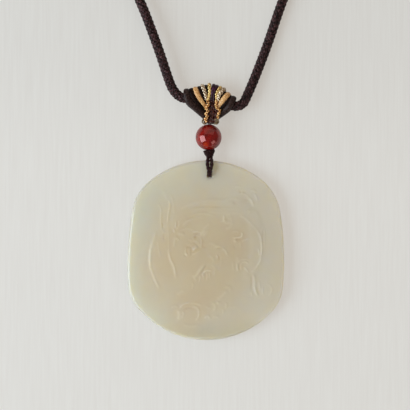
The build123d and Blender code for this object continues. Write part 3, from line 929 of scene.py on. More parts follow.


# The carving's lines by the part of the dragon that they draw, in millimetres from the plaque's middle.
# Each line has its strength, below 0 for a groove, its half width and the points of its arcs. A line is
# also painted lighter by its strength, a painted highlight, and a groove darker, a painted shade.
CARVING: dict[str, list[tuple[float, float, list[Place]]]] = {
    "mane": [
        (0.24, 0.8, [(-16.0, 5.4), (-16.5, 2.9), (-17.2, 0.7)]),
        (0.54, 0.5, [(-17.3, 0.7), (-17.6, -2.3), (-17.4, -5.1)]),
        (0.36, 0.55, [(-17.4, -5.1), (-16.6, -7.6), (-14.8, -11.6)]),
        (0.47, 0.45, [(-11.8, 0.1), (-11.4, -2.5), (-10.5, -4.2), (-10.0, -6.0), (-9.7, -8.3)]),
        (0.14, 0.35, [(-12.1, 8.7), (-11.9, 4.7), (-11.8, 0.1)]),
        (0.27, 0.32, [(-14.2, 12.1), (-14.2, 9.7), (-14.1, 6.9)]),
        (0.15, 0.35, [(-15.1, 14.3), (-14.5, 13.2), (-14.2, 12.1)]),
        (0.18, 0.4, [(-14.1, 6.9), (-13.8, 6.0), (-13.1, 5.0)]),
        (0.38, 0.36, [(-11.7, 15.2), (-11.6, 13.7), (-11.7, 12.3)]),
        (0.36, 0.36, [(-11.7, 12.3), (-12.0, 10.9), (-12.1, 8.7)]),
        (0.19, 0.9, [(-13.5, 18.3), (-12.9, 16.7), (-12.3, 15.2)]),
        (0.19, 0.4, [(-11.1, 16.7), (-10.4, 14.3), (-10.2, 11.2)]),
        (0.5, 0.3, [(-9.5, 8.7), (-9.6, 7.8), (-9.7, 6.9)]),
        (0.41, 0.4, [(-10.3, 6.6), (-10.1, 5.9), (-9.8, 5.4)]),
        (0.26, 0.5, [(-9.8, 4.1), (-10.0, 2.6), (-10.2, 1.0)]),
        (-0.24, 0.4, [(-13.1, 5.4), (-13.2, 4.1), (-13.4, 3.2)]),
        (-0.43, 0.3, [(-13.7, 8.4), (-13.6, 7.5), (-13.6, 6.6)]),
        (-0.13, 0.35, [(-11.1, 6.6), (-10.9, 5.7), (-11.2, 4.4)]),
        (0.15, 0.4, [(-15.2, 2.9), (-14.9, 0.1), (-14.3, -2.3)]),
    ],
    "rays": [
        (0.27, 0.4, [(-9.3, 6.5), (-8.9, 7.1), (-8.4, 7.8)]),
        (0.3, 0.42, [(-7.5, 7.6), (-6.5, 8.7), (-5.2, 9.3)]),
        (0.18, 0.4, [(-8.8, 8.5), (-7.8, 9.8), (-6.8, 10.6)]),
        (0.21, 0.4, [(-7.8, 6.2), (-6.0, 6.6), (-4.2, 6.1)]),
        (0.32, 0.55, [(-8.9, 5.3), (-8.0, 4.9), (-7.1, 4.4)]),
        (-0.35, 0.4, [(-9.2, 8.8), (-9.2, 7.9), (-9.3, 7.3)]),
        (-0.17, 0.4, [(-8.3, 6.5), (-6.9, 7.3), (-5.5, 8.1)]),
        (-0.28, 0.35, [(-7.5, 5.8), (-7.1, 5.6), (-6.8, 5.2)]),
        (0.39, 0.35, [(-9.4, 3.9), (-9.1, 3.4), (-8.6, 3.2)]),
        (-0.16, 0.4, [(-9.3, 4.7), (-8.8, 4.3), (-8.2, 4.2)]),
    ],
    "back": [
        (0.22, 0.8, [(-8.2, 12.6), (-5.4, 13.9), (-2.0, 14.7)]),
        (0.2, 0.9, [(-2.0, 14.7), (2.3, 15.1), (7.8, 14.3)]),
        (-0.22, 0.6, [(-4.8, 13.0), (-0.5, 13.5), (4.2, 13.2)]),
        (0.13, 0.35, [(-3.8, 12.6), (1.1, 12.9), (9.7, 12.7)]),
        (-0.2, 0.45, [(-3.2, 11.8), (-1.4, 11.9), (0.5, 11.8)]),
        (0.21, 0.4, [(-5.1, 10.4), (-2.0, 11.2), (2.3, 10.5)]),
        (0.18, 0.6, [(5.4, 15.4), (7.5, 15.8), (10.6, 15.3)]),
        (0.16, 0.5, [(-7.2, 7.4), (-4.5, 9.4), (-1.1, 10.2)]),
        (-0.25, 0.5, [(-6.3, 9.5), (-5.1, 10.0), (-3.8, 10.3)]),
        (0.13, 0.5, [(2.3, 8.1), (4.8, 8.9), (7.8, 8.4)]),
        (0.14, 0.5, [(-0.2, 11.8), (4.2, 11.5), (9.7, 11.4)]),
    ],
    "face": [
        (0.34, 0.32, [(-4.5, 5.4), (-3.4, 5.7), (-2.1, 5.4)]),
        (-0.74, 0.42, [(-3.9, 3.9), (-3.6, 4.0), (-3.3, 3.9)]),
        (0.14, 0.3, [(-4.5, 3.5), (-4.4, 4.3), (-4.0, 4.8)]),
        (-0.38, 0.4, [(-3.5, 4.7), (-2.8, 4.9), (-2.2, 4.7)]),
        (0.33, 0.35, [(-4.3, 3.0), (-3.2, 2.6), (-2.2, 1.5)]),
        (-0.35, 0.35, [(-4.3, 2.3), (-3.4, 1.9), (-2.8, 1.0)]),
        (-0.42, 0.35, [(-6.3, 1.0), (-5.5, 1.0), (-4.7, 0.7)]),
        (0.38, 0.36, [(-6.4, 0.6), (-6.6, -0.5), (-6.0, -1.6)]),
        (0.53, 0.42, [(-4.4, 0.1), (-3.8, 0.5), (-3.1, 1.0)]),
        (0.3, 0.35, [(-4.3, -1.0), (-3.4, -0.7), (-2.2, 0.1)]),
        (0.41, 0.3, [(-1.9, 3.8), (-1.8, 2.3), (-1.9, 0.7)]),
        (0.38, 0.7, [(-2.1, 4.3), (-1.4, 5.5), (-0.5, 6.1)]),
        (0.21, 0.5, [(-1.1, 4.4), (-0.3, 5.3), (0.3, 6.0)]),
        (0.2, 0.5, [(-0.9, 6.6), (-0.1, 7.5), (0.9, 8.3)]),
        (-0.31, 0.4, [(-4.9, 0.4), (-4.8, -0.5), (-5.0, -1.6)]),
        (-0.32, 0.3, [(-6.9, -1.3), (-6.7, -1.6), (-6.5, -1.7)]),
        (0.36, 0.3, [(-5.8, 3.1), (-5.2, 3.2), (-4.8, 2.9)]),
        (-0.19, 0.35, [(-1.4, 2.9), (-1.0, 2.7), (-0.5, 2.8)]),
        (-0.23, 0.35, [(-1.5, 1.2), (-0.8, 1.0), (-0.2, 1.2)]),
        (0.16, 0.3, [(-1.0, 5.5), (-0.9, 4.9), (-1.0, 4.3)]),
        (0.19, 0.3, [(-5.4, 0.1), (-5.5, -0.7), (-5.3, -1.4)]),
        (-0.34, 0.3, [(-4.6, -0.5), (-4.3, -0.6), (-4.0, -0.5)]),
        (0.21, 0.5, [(-6.3, 2.3), (-5.7, 1.8), (-4.9, 1.7)]),
    ],
    "jaw": [
        (0.2, 0.75, [(0.6, 2.4), (2.0, 1.7), (3.5, 1.2)]),
        (0.29, 0.42, [(4.6, 0.6), (5.6, -0.2), (6.2, -1.6)]),
        (0.14, 0.5, [(2.3, 1.2), (3.7, 1.0), (4.8, 0.4)]),
        (0.43, 0.34, [(2.9, -1.6), (3.1, -2.0), (3.2, -2.3)]),
        (-0.32, 0.4, [(3.5, -2.0), (3.8, -2.5), (3.7, -3.1)]),
        (-0.2, 0.4, [(3.1, 0.9), (3.8, 0.7), (4.8, 0.8)]),
        (0.17, 0.6, [(0.5, -1.4), (1.7, -2.6), (2.0, -3.9)]),
        (0.12, 0.5, [(4.2, -3.0), (4.3, -3.9), (4.0, -4.8)]),
    ],
    "shoulder": [
        (0.46, 0.45, [(5.3, 10.6), (5.1, 9.7), (5.3, 8.8)]),
        (0.23, 0.34, [(5.4, 8.5), (6.2, 8.3), (6.9, 8.5)]),
        (0.23, 0.4, [(5.9, 10.5), (6.6, 11.1), (7.0, 10.7)]),
        (-0.2, 0.6, [(6.0, 9.8), (6.2, 9.4), (6.4, 9.0)]),
        (0.27, 0.7, [(5.7, 6.7), (6.9, 7.1), (7.7, 8.6)]),
        (0.14, 0.4, [(7.3, 10.3), (7.5, 9.5), (7.4, 8.9)]),
        (0.26, 0.35, [(7.8, 5.6), (8.8, 5.8), (9.8, 5.4)]),
        (0.47, 0.36, [(8.0, 3.8), (9.1, 3.9), (10.3, 4.1)]),
        (0.66, 0.36, [(10.3, 4.1), (10.7, 4.7), (10.5, 5.3)]),
        (-0.41, 0.32, [(8.9, 3.4), (9.7, 3.3), (10.3, 3.4)]),
        (0.51, 0.7, [(8.3, 3.2), (8.5, 2.8), (8.5, 2.5)]),
        (0.25, 0.4, [(10.8, 2.7), (11.5, 3.3), (12.9, 3.5)]),
        (-0.2, 0.5, [(8.3, 1.5), (8.5, 1.0), (8.6, 0.7)]),
        (0.16, 0.35, [(10.0, 2.6), (10.2, 1.7), (10.1, 0.7)]),
    ],
    "flank": [
        (0.23, 0.5, [(10.2, 10.6), (11.8, 9.7), (13.4, 8.2)]),
        (0.15, 0.45, [(13.4, 8.2), (14.6, 7.0), (15.6, 5.7)]),
        (0.48, 0.4, [(15.6, 5.7), (16.2, 4.4), (16.6, 2.9)]),
        (0.73, 0.36, [(16.6, 2.9), (16.7, 0.6), (16.5, -1.7)]),
        (0.44, 0.45, [(16.5, -1.7), (16.3, -3.3), (15.5, -4.6)]),
        (0.34, 0.45, [(15.5, -4.6), (14.8, -5.7), (13.4, -6.7)]),
        (-0.29, 0.26, [(17.3, 5.7), (17.1, 3.5), (17.2, 1.0)]),
        (0.18, 0.28, [(17.6, 6.6), (17.5, 3.8), (17.5, 1.0)]),
        (0.16, 0.35, [(16.5, 5.2), (16.9, 6.4), (17.5, 7.5)]),
        (0.6, 0.28, [(15.8, 0.3), (15.9, -0.7), (16.0, -1.6)]),
        (0.23, 0.35, [(9.6, -3.8), (10.6, -2.8), (12.5, -2.8)]),
    ],
    "tail": [
        (0.44, 0.55, [(14.2, -7.6), (14.5, -9.2), (14.5, -11.0)]),
        (0.67, 0.4, [(14.5, -11.0), (14.8, -12.5), (15.4, -13.9)]),
        (-0.27, 0.42, [(13.6, -7.9), (13.7, -10.0), (13.6, -12.2)]),
        (-0.19, 0.35, [(15.4, -11.0), (15.7, -12.5), (16.0, -13.7)]),
        (0.29, 0.32, [(16.0, -9.7), (16.1, -11.0), (16.4, -12.1)]),
        (0.3, 0.36, [(17.1, -11.4), (17.0, -12.6), (17.3, -13.7)]),
        (0.33, 0.4, [(19.7, -11.5), (19.8, -12.8), (19.0, -13.8)]),
        (0.18, 0.35, [(18.3, -10.5), (19.1, -10.8), (19.7, -11.5)]),
        (0.24, 0.3, [(13.5, -12.8), (13.6, -13.4), (13.8, -13.9)]),
    ],
    "keys": [
        (0.2, 0.7, [(9.1, -2.0), (9.4, -3.0), (9.2, -4.0)]),
        (0.43, 0.42, [(9.1, -4.0), (9.2, -5.1), (9.4, -6.3)]),
        (0.21, 0.36, [(8.0, -3.6), (7.9, -4.8), (8.2, -6.0)]),
        (0.18, 0.36, [(10.5, -6.0), (10.4, -4.9), (10.7, -3.9)]),
        (0.3, 0.36, [(10.7, -3.9), (11.6, -3.5), (12.5, -4.1)]),
        (0.31, 0.36, [(11.4, -5.2), (12.0, -5.9), (12.6, -6.6)]),
        (-0.17, 0.4, [(9.9, -4.2), (9.9, -5.1), (10.0, -6.2)]),
    ],
    "leaves": [
        (0.52, 0.5, [(12.8, 16.0), (13.6, 15.1), (14.2, 13.5)]),
        (0.26, 0.4, [(9.7, 17.5), (11.5, 17.2), (12.8, 16.0)]),
        (0.31, 0.42, [(14.5, 17.2), (15.1, 16.2), (15.3, 15.2)]),
        (0.37, 1.1, [(12.3, 11.9), (12.8, 11.8), (13.3, 11.6)]),
        (-0.46, 0.5, [(9.8, 17.8), (10.1, 17.8), (10.5, 17.8)]),
        (-0.29, 0.5, [(10.9, 17.9), (11.4, 17.8), (11.7, 17.8)]),
        (-0.19, 0.6, [(11.5, 15.7), (12.0, 15.6), (12.3, 15.7)]),
        (-0.32, 0.7, [(8.0, 14.5), (8.5, 14.5), (9.0, 14.4)]),
        (0.22, 0.5, [(8.5, 19.3), (9.4, 19.5), (10.3, 19.2)]),
        (0.26, 0.5, [(13.4, 18.1), (14.2, 18.3), (14.9, 17.8)]),
        (0.09, 0.5, [(14.6, 11.8), (15.4, 11.0), (14.9, 10.3)]),
    ],
    "foot": [
        (0.32, 0.6, [(-3.8, -8.3), (-2.6, -6.7), (-1.0, -4.5)]),
        (-0.43, 0.45, [(-1.8, -7.5), (-1.0, -5.9), (0.0, -4.6)]),
        (0.5, 0.35, [(-0.9, -6.7), (0.0, -6.1), (1.2, -6.4)]),
        (0.38, 0.3, [(-1.5, -7.0), (-1.2, -8.0), (-1.1, -9.1)]),
        (0.32, 0.3, [(-0.1, -6.8), (0.0, -8.0), (-0.1, -9.2)]),
        (0.32, 0.3, [(0.6, -6.7), (0.7, -7.6), (0.6, -8.5)]),
        (0.17, 0.5, [(1.2, -4.4), (2.5, -5.8), (1.9, -7.8)]),
        (0.2, 0.45, [(-4.4, -7.7), (-3.8, -8.5), (-3.3, -9.5)]),
        (0.35, 0.32, [(-2.2, -7.8), (-2.2, -8.7), (-2.4, -9.6)]),
        (-0.15, 0.3, [(-0.6, -7.0), (-0.5, -8.1), (-0.6, -9.1)]),
        (0.22, 0.4, [(-4.6, -9.9), (-4.3, -11.0), (-4.8, -11.8)]),
        (0.24, 0.8, [(-9.2, -13.7), (-8.2, -13.0), (-6.9, -12.3)]),
    ],
    "clouds": [
        (0.47, 0.8, [(-9.0, -21.3), (-8.5, -19.9), (-9.0, -18.5)]),
        (0.37, 0.45, [(-8.3, -17.8), (-7.2, -16.7), (-5.1, -16.3)]),
        (0.29, 0.45, [(-5.1, -16.3), (-3.4, -16.4), (-2.0, -16.9)]),
        (0.34, 0.5, [(-4.5, -17.2), (-3.0, -17.9), (-2.6, -19.3)]),
        (0.38, 0.5, [(-2.6, -19.3), (-2.7, -20.6), (-3.6, -21.5)]),
        (0.32, 0.4, [(-7.5, -18.8), (-7.3, -19.9), (-7.9, -20.9)]),
        (0.18, 0.6, [(-7.5, -22.8), (-5.1, -23.4), (-2.6, -23.0)]),
        (0.2, 0.5, [(-10.9, -17.7), (-10.1, -17.2), (-9.2, -17.3)]),
        (-0.22, 0.5, [(-6.8, -18.0), (-5.7, -17.6), (-4.5, -17.9)]),
    ],
    "waves": [
        (0.28, 0.9, [(2.9, -15.0), (4.6, -13.8), (6.0, -12.2)]),
        (0.16, 0.6, [(5.4, -11.3), (6.7, -11.4), (7.0, -12.6)]),
        (0.3, 0.7, [(1.4, -16.1), (2.4, -17.3), (1.8, -18.6)]),
        (0.38, 0.5, [(3.0, -16.2), (3.4, -16.2), (3.8, -16.3)]),
        (0.24, 0.4, [(5.7, -16.2), (5.9, -17.0), (5.7, -17.8)]),
        (0.18, 0.4, [(4.6, -18.0), (5.0, -18.8), (4.7, -19.6)]),
        (0.36, 0.5, [(-0.8, -20.9), (0.1, -20.3), (0.8, -21.0)]),
        (0.17, 0.5, [(-0.6, -17.1), (0.6, -17.8), (1.4, -17.7)]),
        (0.09, 0.5, [(6.6, -17.1), (7.8, -17.5), (9.1, -17.0)]),
        (0.16, 0.5, [(1.7, -20.8), (2.6, -20.4), (3.5, -20.9)]),
    ],
}
# The carving's painted tone where the stone is plain, between 0 in a hollow, painted shade, and 1 on a crest,
# painted highlight
PLAIN_TONE = 0.5


@dataclass
class JadePlaque:
    """The carved plaque: one stone with a crowned front, a worn low dragon and a drilled hole.

    Attributes:
        radius: Radius of the disc that the outline starts from.
        left_reach: Distance of the left side from the middle.
        right_reach: Distance of the right side from the middle.
        bows: Radius of the left and the right side's bow, and how far up its middle lies.
        corners: Radius of each rounded corner, by side (-1 left) and end (-1 bottom).
        thickness: Thickness in the middle.
        front_rim: Height of the crowned front at the disc's edge.
        back_rim: Height of the crowned back at the disc's edge.
        back_flat: Radius of the back's flat middle.
        rim_round: Radius of the rounded rim.
        back_shares: Where the back's rings lie, as shares of the rim's last ring.
        hole: Middle of the hanging hole.
        hole_radius: Radius of the hole.
        hole_round: Radius of its rounded mouths.
        cells: Cells along one side of the front's grid.
        band: The way of the dragon's body.
        band_edge: Half width of the body, and how softly it ends.
        head: Middle of the dragon's head.
        head_edge: Radius of the head, and how softly it ends.
        body_rise: Height of the body and the head over the crown.
        shades: How much darker the body and the head look.
        rise: Height of a line of full strength.
        line_slimness: Share of a line's half width at which it has fallen away.
        lines_shift: How far all lines are moved.
        rim_band: Width of the band along the front's edge that takes the rim's painted light and shade.
    """

    radius: float = 27.7
    left_reach: float = 24.4
    right_reach: float = 24.0
    bows: tuple[Place, Place] = ((112.0, -6.1), (90.0, -2.9))
    corners: dict[tuple[int, int], float] = field(
        default_factory=lambda: {(-1, 1): 13.0, (1, 1): 16.0, (-1, -1): 13.5, (1, -1): 12.0})
    thickness: float = 5.6
    front_rim: float = 3.8
    back_rim: float = 1.6
    back_flat: float = 12.0
    rim_round: float = 1.0
    back_shares: Sequence[float] = (0.95, 0.88, 0.8, 0.7, 0.6, 0.5, 0.42, 0.3, 0.15)
    hole: Place = (0.95, 23.2)
    hole_radius: float = 0.8
    hole_round: float = 0.2
    cells: int = 250
    band: Sequence[Place] = (
        (-8.8, 9.1), (-1.1, 13.3), (7.8, 13.6), (13.7, 11.1), (15.4, 4.4), (15.5, -1.7), (13.4, -7.0))
    band_edge: Place = (1.9, 0.35)
    head: Place = (-4.6, 1.1)
    head_edge: Place = (3.4, 0.6)
    body_rise: float = 0.1
    shades: Place = (0.05, 0.12)
    rise: float = 0.2
    line_slimness: float = 0.75
    lines_shift: Place = (0.26, 0.13)
    rim_band: float = 2.5

    @property
    def front_radius(self) -> float:
        """Radius of the ball that the front's crown is part of."""
        rise = self.thickness - self.front_rim
        return (self.radius ** 2 + rise ** 2) / (2 * rise)

    @property
    def back_radius(self) -> float:
        """Radius of the ball that the back's crown is part of."""
        return (self.radius ** 2 - self.back_flat ** 2) / (2 * self.back_rim)

    def tilt(self, ball_radius: float) -> float:
        """Return the slope of a crown, part of a ball, where it meets the rounded rim."""
        return math.asin((self.radius - self.rim_round) / ball_radius)

    def front_at(self, reach: Array) -> Array:
        """Return the front's height at a distance from the middle."""
        return self.thickness - self.front_radius + np.sqrt(self.front_radius ** 2 - reach ** 2)

    def back_at(self, reach: Array) -> Array:
        """Return the back's height at a distance from the middle; its middle is flat on the table."""
        centre = math.sqrt(self.back_radius ** 2 - self.back_flat ** 2)
        return np.maximum(centre - np.sqrt(self.back_radius ** 2 - reach ** 2), 0.0)

    @staticmethod
    def ray(angle: Array, centre: Array, radius: float) -> Array:
        """Return how far a ray from the middle runs to the far side of a circle."""
        dot = np.cos(angle) * centre[0] + np.sin(angle) * centre[1]
        return dot + np.sqrt(np.maximum(dot ** 2 - centre @ centre + radius ** 2, 0.0))

    def outline(self, angle: Array) -> Array:
        """Return the outline's distance from the middle in each direction.

        Args:
            angle: Directions in radians.

        Returns:
            Distances in millimetres.
        """
        (left_radius, left_rise), (right_radius, right_rise) = self.bows
        left = np.array((left_radius - self.left_reach, left_rise))
        right = np.array((self.right_reach - right_radius, right_rise))
        reach = np.full(angle.shape, self.radius)
        reach = np.minimum(reach, self.ray(angle, left, left_radius))
        reach = np.minimum(reach, self.ray(angle, right, right_radius))
        for (side, end), round_off in self.corners.items():
            bow, bow_radius = (left, left_radius) if side < 0 else (right, right_radius)
            centre = self.corner_centre(bow, bow_radius, round_off, end)
            on_disc = centre * self.radius / (self.radius - round_off)
            on_bow = bow + (centre - bow) * bow_radius / (bow_radius - round_off)
            start, stop = sorted(math.atan2(p[1], p[0]) % FULL_TURN for p in (on_disc, on_bow))
            here = angle % FULL_TURN
            inside = (here > start) & (here < stop)
            if stop - start >= math.pi:
                inside = (here > stop) | (here < start)
            reach = np.where(inside, self.ray(angle, centre, round_off), reach)
        return reach

    def corner_centre(self, bow: Array, bow_radius: float, round_off: float, end: int) -> Array:
        """Find the middle of a rounded corner between the disc and a bowed side.

        Args:
            bow: Middle of the side's bow.
            bow_radius: The bow's radius.
            round_off: The corner's radius.
            end: -1 for the bottom, 1 for the top.

        Returns:
            The middle, as x and y.
        """
        first, second = self.radius - round_off, bow_radius - round_off
        apart = float(np.linalg.norm(bow))
        along = (first ** 2 - second ** 2 + apart ** 2) / (2 * apart)
        across = math.sqrt(first ** 2 - along ** 2)
        heading = bow / apart
        square = np.array((-heading[1], heading[0]))
        places = [heading * along + square * across * sign for sign in (1, -1)]
        return max(places, key=lambda p: p[1] * end)

    @staticmethod
    def stroke_line(points: Sequence[Place]) -> Array:
        """Sample a line of the carving, drawn as arcs of three points.

        Args:
            points: The arcs' points.

        Returns:
            Points along the arcs.
        """
        marks = np.array(points)
        line = []
        for first in range(0, len(marks) - 2, 2):
            start, middle, end = marks[first:first + 3]
            peak = 2 * middle - (start + end) / 2
            for t in np.linspace(0, 1, 9):
                line.append((1 - t) ** 2 * start + 2 * t * (1 - t) * peak + t ** 2 * end)
        return np.array(line)

    @staticmethod
    def distance(spots: Array, line: Array) -> tuple[Array, Array]:
        """Measure how far spots are from a line, where they are near enough to matter.

        Args:
            spots: Points, one row each.
            line: The line's points.

        Returns:
            Each spot's distance, and its place along the line from 0 to 1.
        """
        margin, far, smallest = 4.0, 100.0, 1e-12
        best, place = np.full(len(spots), far), np.zeros(len(spots))
        low, high = line.min(0), line.max(0)
        near = np.abs(spots - (low + high) / 2) < (high - low) / 2 + margin
        rows = np.flatnonzero(near.all(axis=1))
        local = spots[rows]
        found, where = best[rows], place[rows]
        for index, (a, b) in enumerate(zip(line, line[1:])):
            step = b - a
            t = np.clip(((local - a) @ step) / max(step @ step, smallest), 0, 1)
            gap = np.linalg.norm(local - a - t[:, None] * step, axis=1)
            closer = gap < found
            found[closer] = gap[closer]
            where[closer] = (index + t[closer]) / (len(line) - 1)
        best[rows], place[rows] = found, where
        return best, place

    def relief(self, spots: Array) -> tuple[Array, Array]:
        """Work out the worn carving's height over the crown and its painted tone.

        Args:
            spots: Points of the front, as x and y.

        Returns:
            The height of each point, and its painted tone from 0 in a hollow, painted shade, to 1 on a crest,
            painted highlight.
        """
        body_gap, _ = self.distance(spots, self.stroke_line(self.band))
        head_gap = np.linalg.norm(spots - np.array(self.head), axis=1)
        body, face = (
            1 / (1 + np.exp((gap - half) / soft))
            for gap, (half, soft) in ((body_gap, self.band_edge), (head_gap, self.head_edge)))
        height = self.body_rise * body + self.body_rise * face
        tone = PLAIN_TONE - self.shades[0] * body - self.shades[1] * face
        drawn = spots - np.array(self.lines_shift)
        end_strength, growth = 0.3, 5
        for lines in CARVING.values():
            for strength, width, points in lines:
                gap, place = self.distance(drawn, self.stroke_line(points))
                fade = np.clip(np.minimum(place, 1 - place) * growth + end_strength, 0.0, 1.0)
                ridge = np.exp(-(gap / (width * self.line_slimness)) ** 2) * fade * strength
                height += self.rise * ridge
                # Each line is also painted into the tone: lighter on a ridge, a painted highlight, darker
                # along a groove, a painted shade
                tone += ridge / 2
        return height, np.clip(tone, 0.0, 1.0)

    def rings(self, edge: Array) -> tuple[list[tuple[Array, Array]], Array]:
        """Work out the rings of points from the front round the rim to the back.

        Args:
            edge: The outline's distance from the middle at each point of a ring.

        Returns:
            Each ring's distances from the middle and heights, and the distances where the rim ends.
        """
        steps, quarter, bend = 8, math.pi / 2, self.rim_round
        front, back = self.tilt(self.front_radius), self.tilt(self.back_radius)
        core = edge - bend
        rings = []
        for tilt, surface, sign, turns in (
                (front, self.front_at, -1, np.linspace(quarter - front, 0, steps)[1:]),
                (back, self.back_at, 1, np.linspace(0, back - quarter, steps))):
            middle = surface(core + bend * math.sin(tilt)) + sign * bend * math.cos(tilt)
            rings += [(core + bend * math.cos(turn), middle + bend * math.sin(turn)) for turn in turns]
        last = rings[-1][0]
        rings += [(last * share, self.back_at(last * share)) for share in self.back_shares]
        return rings, last

    def build(self) -> None:
        """Shape the carved front, the rim and the back, drill the hole and settle the plaque."""
        side = np.linspace(-1, 1, self.cells + 1)
        u, v = np.meshgrid(side, side, indexing="ij")
        disc = np.stack([u * np.sqrt(1 - v ** 2 / 2), v * np.sqrt(1 - u ** 2 / 2)], axis=-1).reshape(-1, 2)
        number = np.arange(len(disc)).reshape(u.shape)
        angle = np.arctan2(disc[:, 1], disc[:, 0])
        border = self.outline(angle) - self.rim_round * (1 - math.sin(self.tilt(self.front_radius)))
        flat = disc * border[:, None]
        reach = np.linalg.norm(flat, axis=1)
        height, tone = self.relief(flat)
        points, tones = [np.column_stack([flat, self.front_at(reach) + height])], [tone]
        front_most, back_pale = 0.5, 0.4
        rims = [np.clip(1 - (border - reach) / self.rim_band, 0.0, 1.0) ** 2 * front_most]
        cells = [number[:-1, :-1], number[1:, :-1], number[1:, 1:], number[:-1, 1:]]
        faces = np.stack(cells, axis=-1).reshape(-1, 4).tolist()
        ring = np.concatenate([number[:-1, 0], number[-1, :-1], number[:0:-1, -1], number[0, :0:-1]])
        way = np.column_stack([np.cos(angle[ring]), np.sin(angle[ring])])
        rings, last = self.rings(self.outline(angle[ring]))
        total = len(flat)
        for out, level in rings:
            points.append(np.column_stack([way * out[:, None], level]))
            tones.append(np.full(len(ring), PLAIN_TONE))
            rims.append(np.where(out > last, 1.0, back_pale))
            fresh = np.arange(total, total + len(ring))
            total += len(ring)
            faces += np.stack([ring, fresh, np.roll(fresh, -1), np.roll(ring, -1)], axis=-1).tolist()
            ring = fresh
        points.append(np.zeros((1, 3)))
        tones.append(np.array([PLAIN_TONE]))
        rims.append(np.array([back_pale]))
        faces += [(int(b), int(a), total) for a, b in zip(ring, np.roll(ring, -1))]
        mesh = shell("jade_plaque_carved", np.vstack(points), faces, JADE)
        # The carving's tone carries the painted highlights and shades of its lines, and the rim share the
        # rim's painted light and shade
        keep(mesh, "carving", np.concatenate(tones))
        keep(mesh, "rim", np.concatenate(rims))
        settle("jade_plaque_carved", self.drilled(mesh), "jade", "jade_plaque")

    def drilled(self, mesh: bpy.types.Mesh) -> bpy.types.Mesh:
        """Cut the hole with its rounded mouths through the stone.

        Args:
            mesh: The plaque without its hole.

        Returns:
            The plaque with its hole.
        """
        x, y = self.hole
        reach = np.array([math.hypot(x, y)])
        quarter, sides, clear = np.linspace(0, math.pi / 2, 5), 48, 0.1
        wide = self.hole_radius + self.hole_round + clear
        profile = [(wide, -1.0)]
        for surface, sign, turns in ((self.back_at, 1, quarter), (self.front_at, -1, quarter[::-1])):
            level = float(surface(reach)[0])
            profile += [
                (self.hole_radius + self.hole_round * (1 - math.sin(turn)),
                 level + sign * self.hole_round * (1 - math.cos(turn))) for turn in turns]
        profile.append((wide, self.thickness + 2))
        cutter = link_object("drill", lathe("drill", profile, (x, y, 0.0), sides))
        stone = link_object("stone", mesh)
        cut = stone.modifiers.new("hole", "BOOLEAN")
        cut.object = cutter
        cut.solver = "MANIFOLD"
        result = bake(stone, "jade_plaque_carved")
        bpy.data.meshes.remove(cutter.data)
        return smoothed(result)


def lathe(name: str, profile: Sequence[Place], centre: Point, sides: int) -> bpy.types.Mesh:
    """Turn a profile round the Z axis, closed at both ends.

    Args:
        name: The mesh's name.
        profile: Radius and height of each ring, from the bottom up.
        centre: Where the axis stands.
        sides: Points round each ring.

    Returns:
        The mesh.
    """
    turn = np.linspace(0, FULL_TURN, sides, endpoint=False)
    rings = [np.column_stack([r * np.cos(turn), r * np.sin(turn), np.full(sides, z)]) for r, z in profile]
    ends = np.array([[0.0, 0.0, profile[0][1]], [0.0, 0.0, profile[-1][1]]])
    faces = band_faces(len(profile), sides)
    last = (len(profile) - 1) * sides
    bottom, top = last + sides, last + sides + 1
    for i in range(sides):
        j = (i + 1) % sides
        faces += [(j, i, bottom), (last + i, last + j, top)]
    return shell(name, np.vstack([*rings, ends]) + np.array(centre), faces)


@dataclass
class AgateBead:
    """The round red bead, drilled along the string, with softened mouths."""

    radius: float = 4.0
    bore: float = 0.8
    mouth: float = 0.25
    mouth_step: float = 0.02
    mouth_start: float = 0.2
    sides: int = 128
    rows: int = 64
    string: StringFrame = field(default_factory=StringFrame)

    def build(self) -> None:
        """Grind the ball, drill it and settle it."""
        start = math.asin((self.bore + self.mouth) / self.radius)
        ball = [
            (self.radius * math.sin(turn), self.radius * math.cos(turn))
            for turn in np.linspace(start, math.pi - start, self.rows)]
        end = ball[0][1]
        soft = [
            (self.bore + self.mouth * (1 - math.sin(turn)),
             end - self.mouth * (1 - math.cos(turn)) - self.mouth_step)
            for turn in np.linspace(self.mouth_start, math.pi / 2, 5)]
        drilling = [(self.bore, end * share) for share in (-0.5, 0.0, 0.5)]
        outline = ball + [(r, -h) for r, h in soft] + drilling + soft[::-1]
        turn = np.linspace(0, FULL_TURN, self.sides, endpoint=False)
        points = self.string.place(
            [(r * math.cos(angle), h, -r * math.sin(angle)) for r, h in outline for angle in turn])
        faces = [(a, d, c, b) for a, b, c, d in band_faces(len(outline), self.sides, closed=True)]
        mesh = shell("agate_bead_polished", np.array(points), faces, AGATE)
        settle("agate_bead_polished", mesh, "agate", "agate_bead")


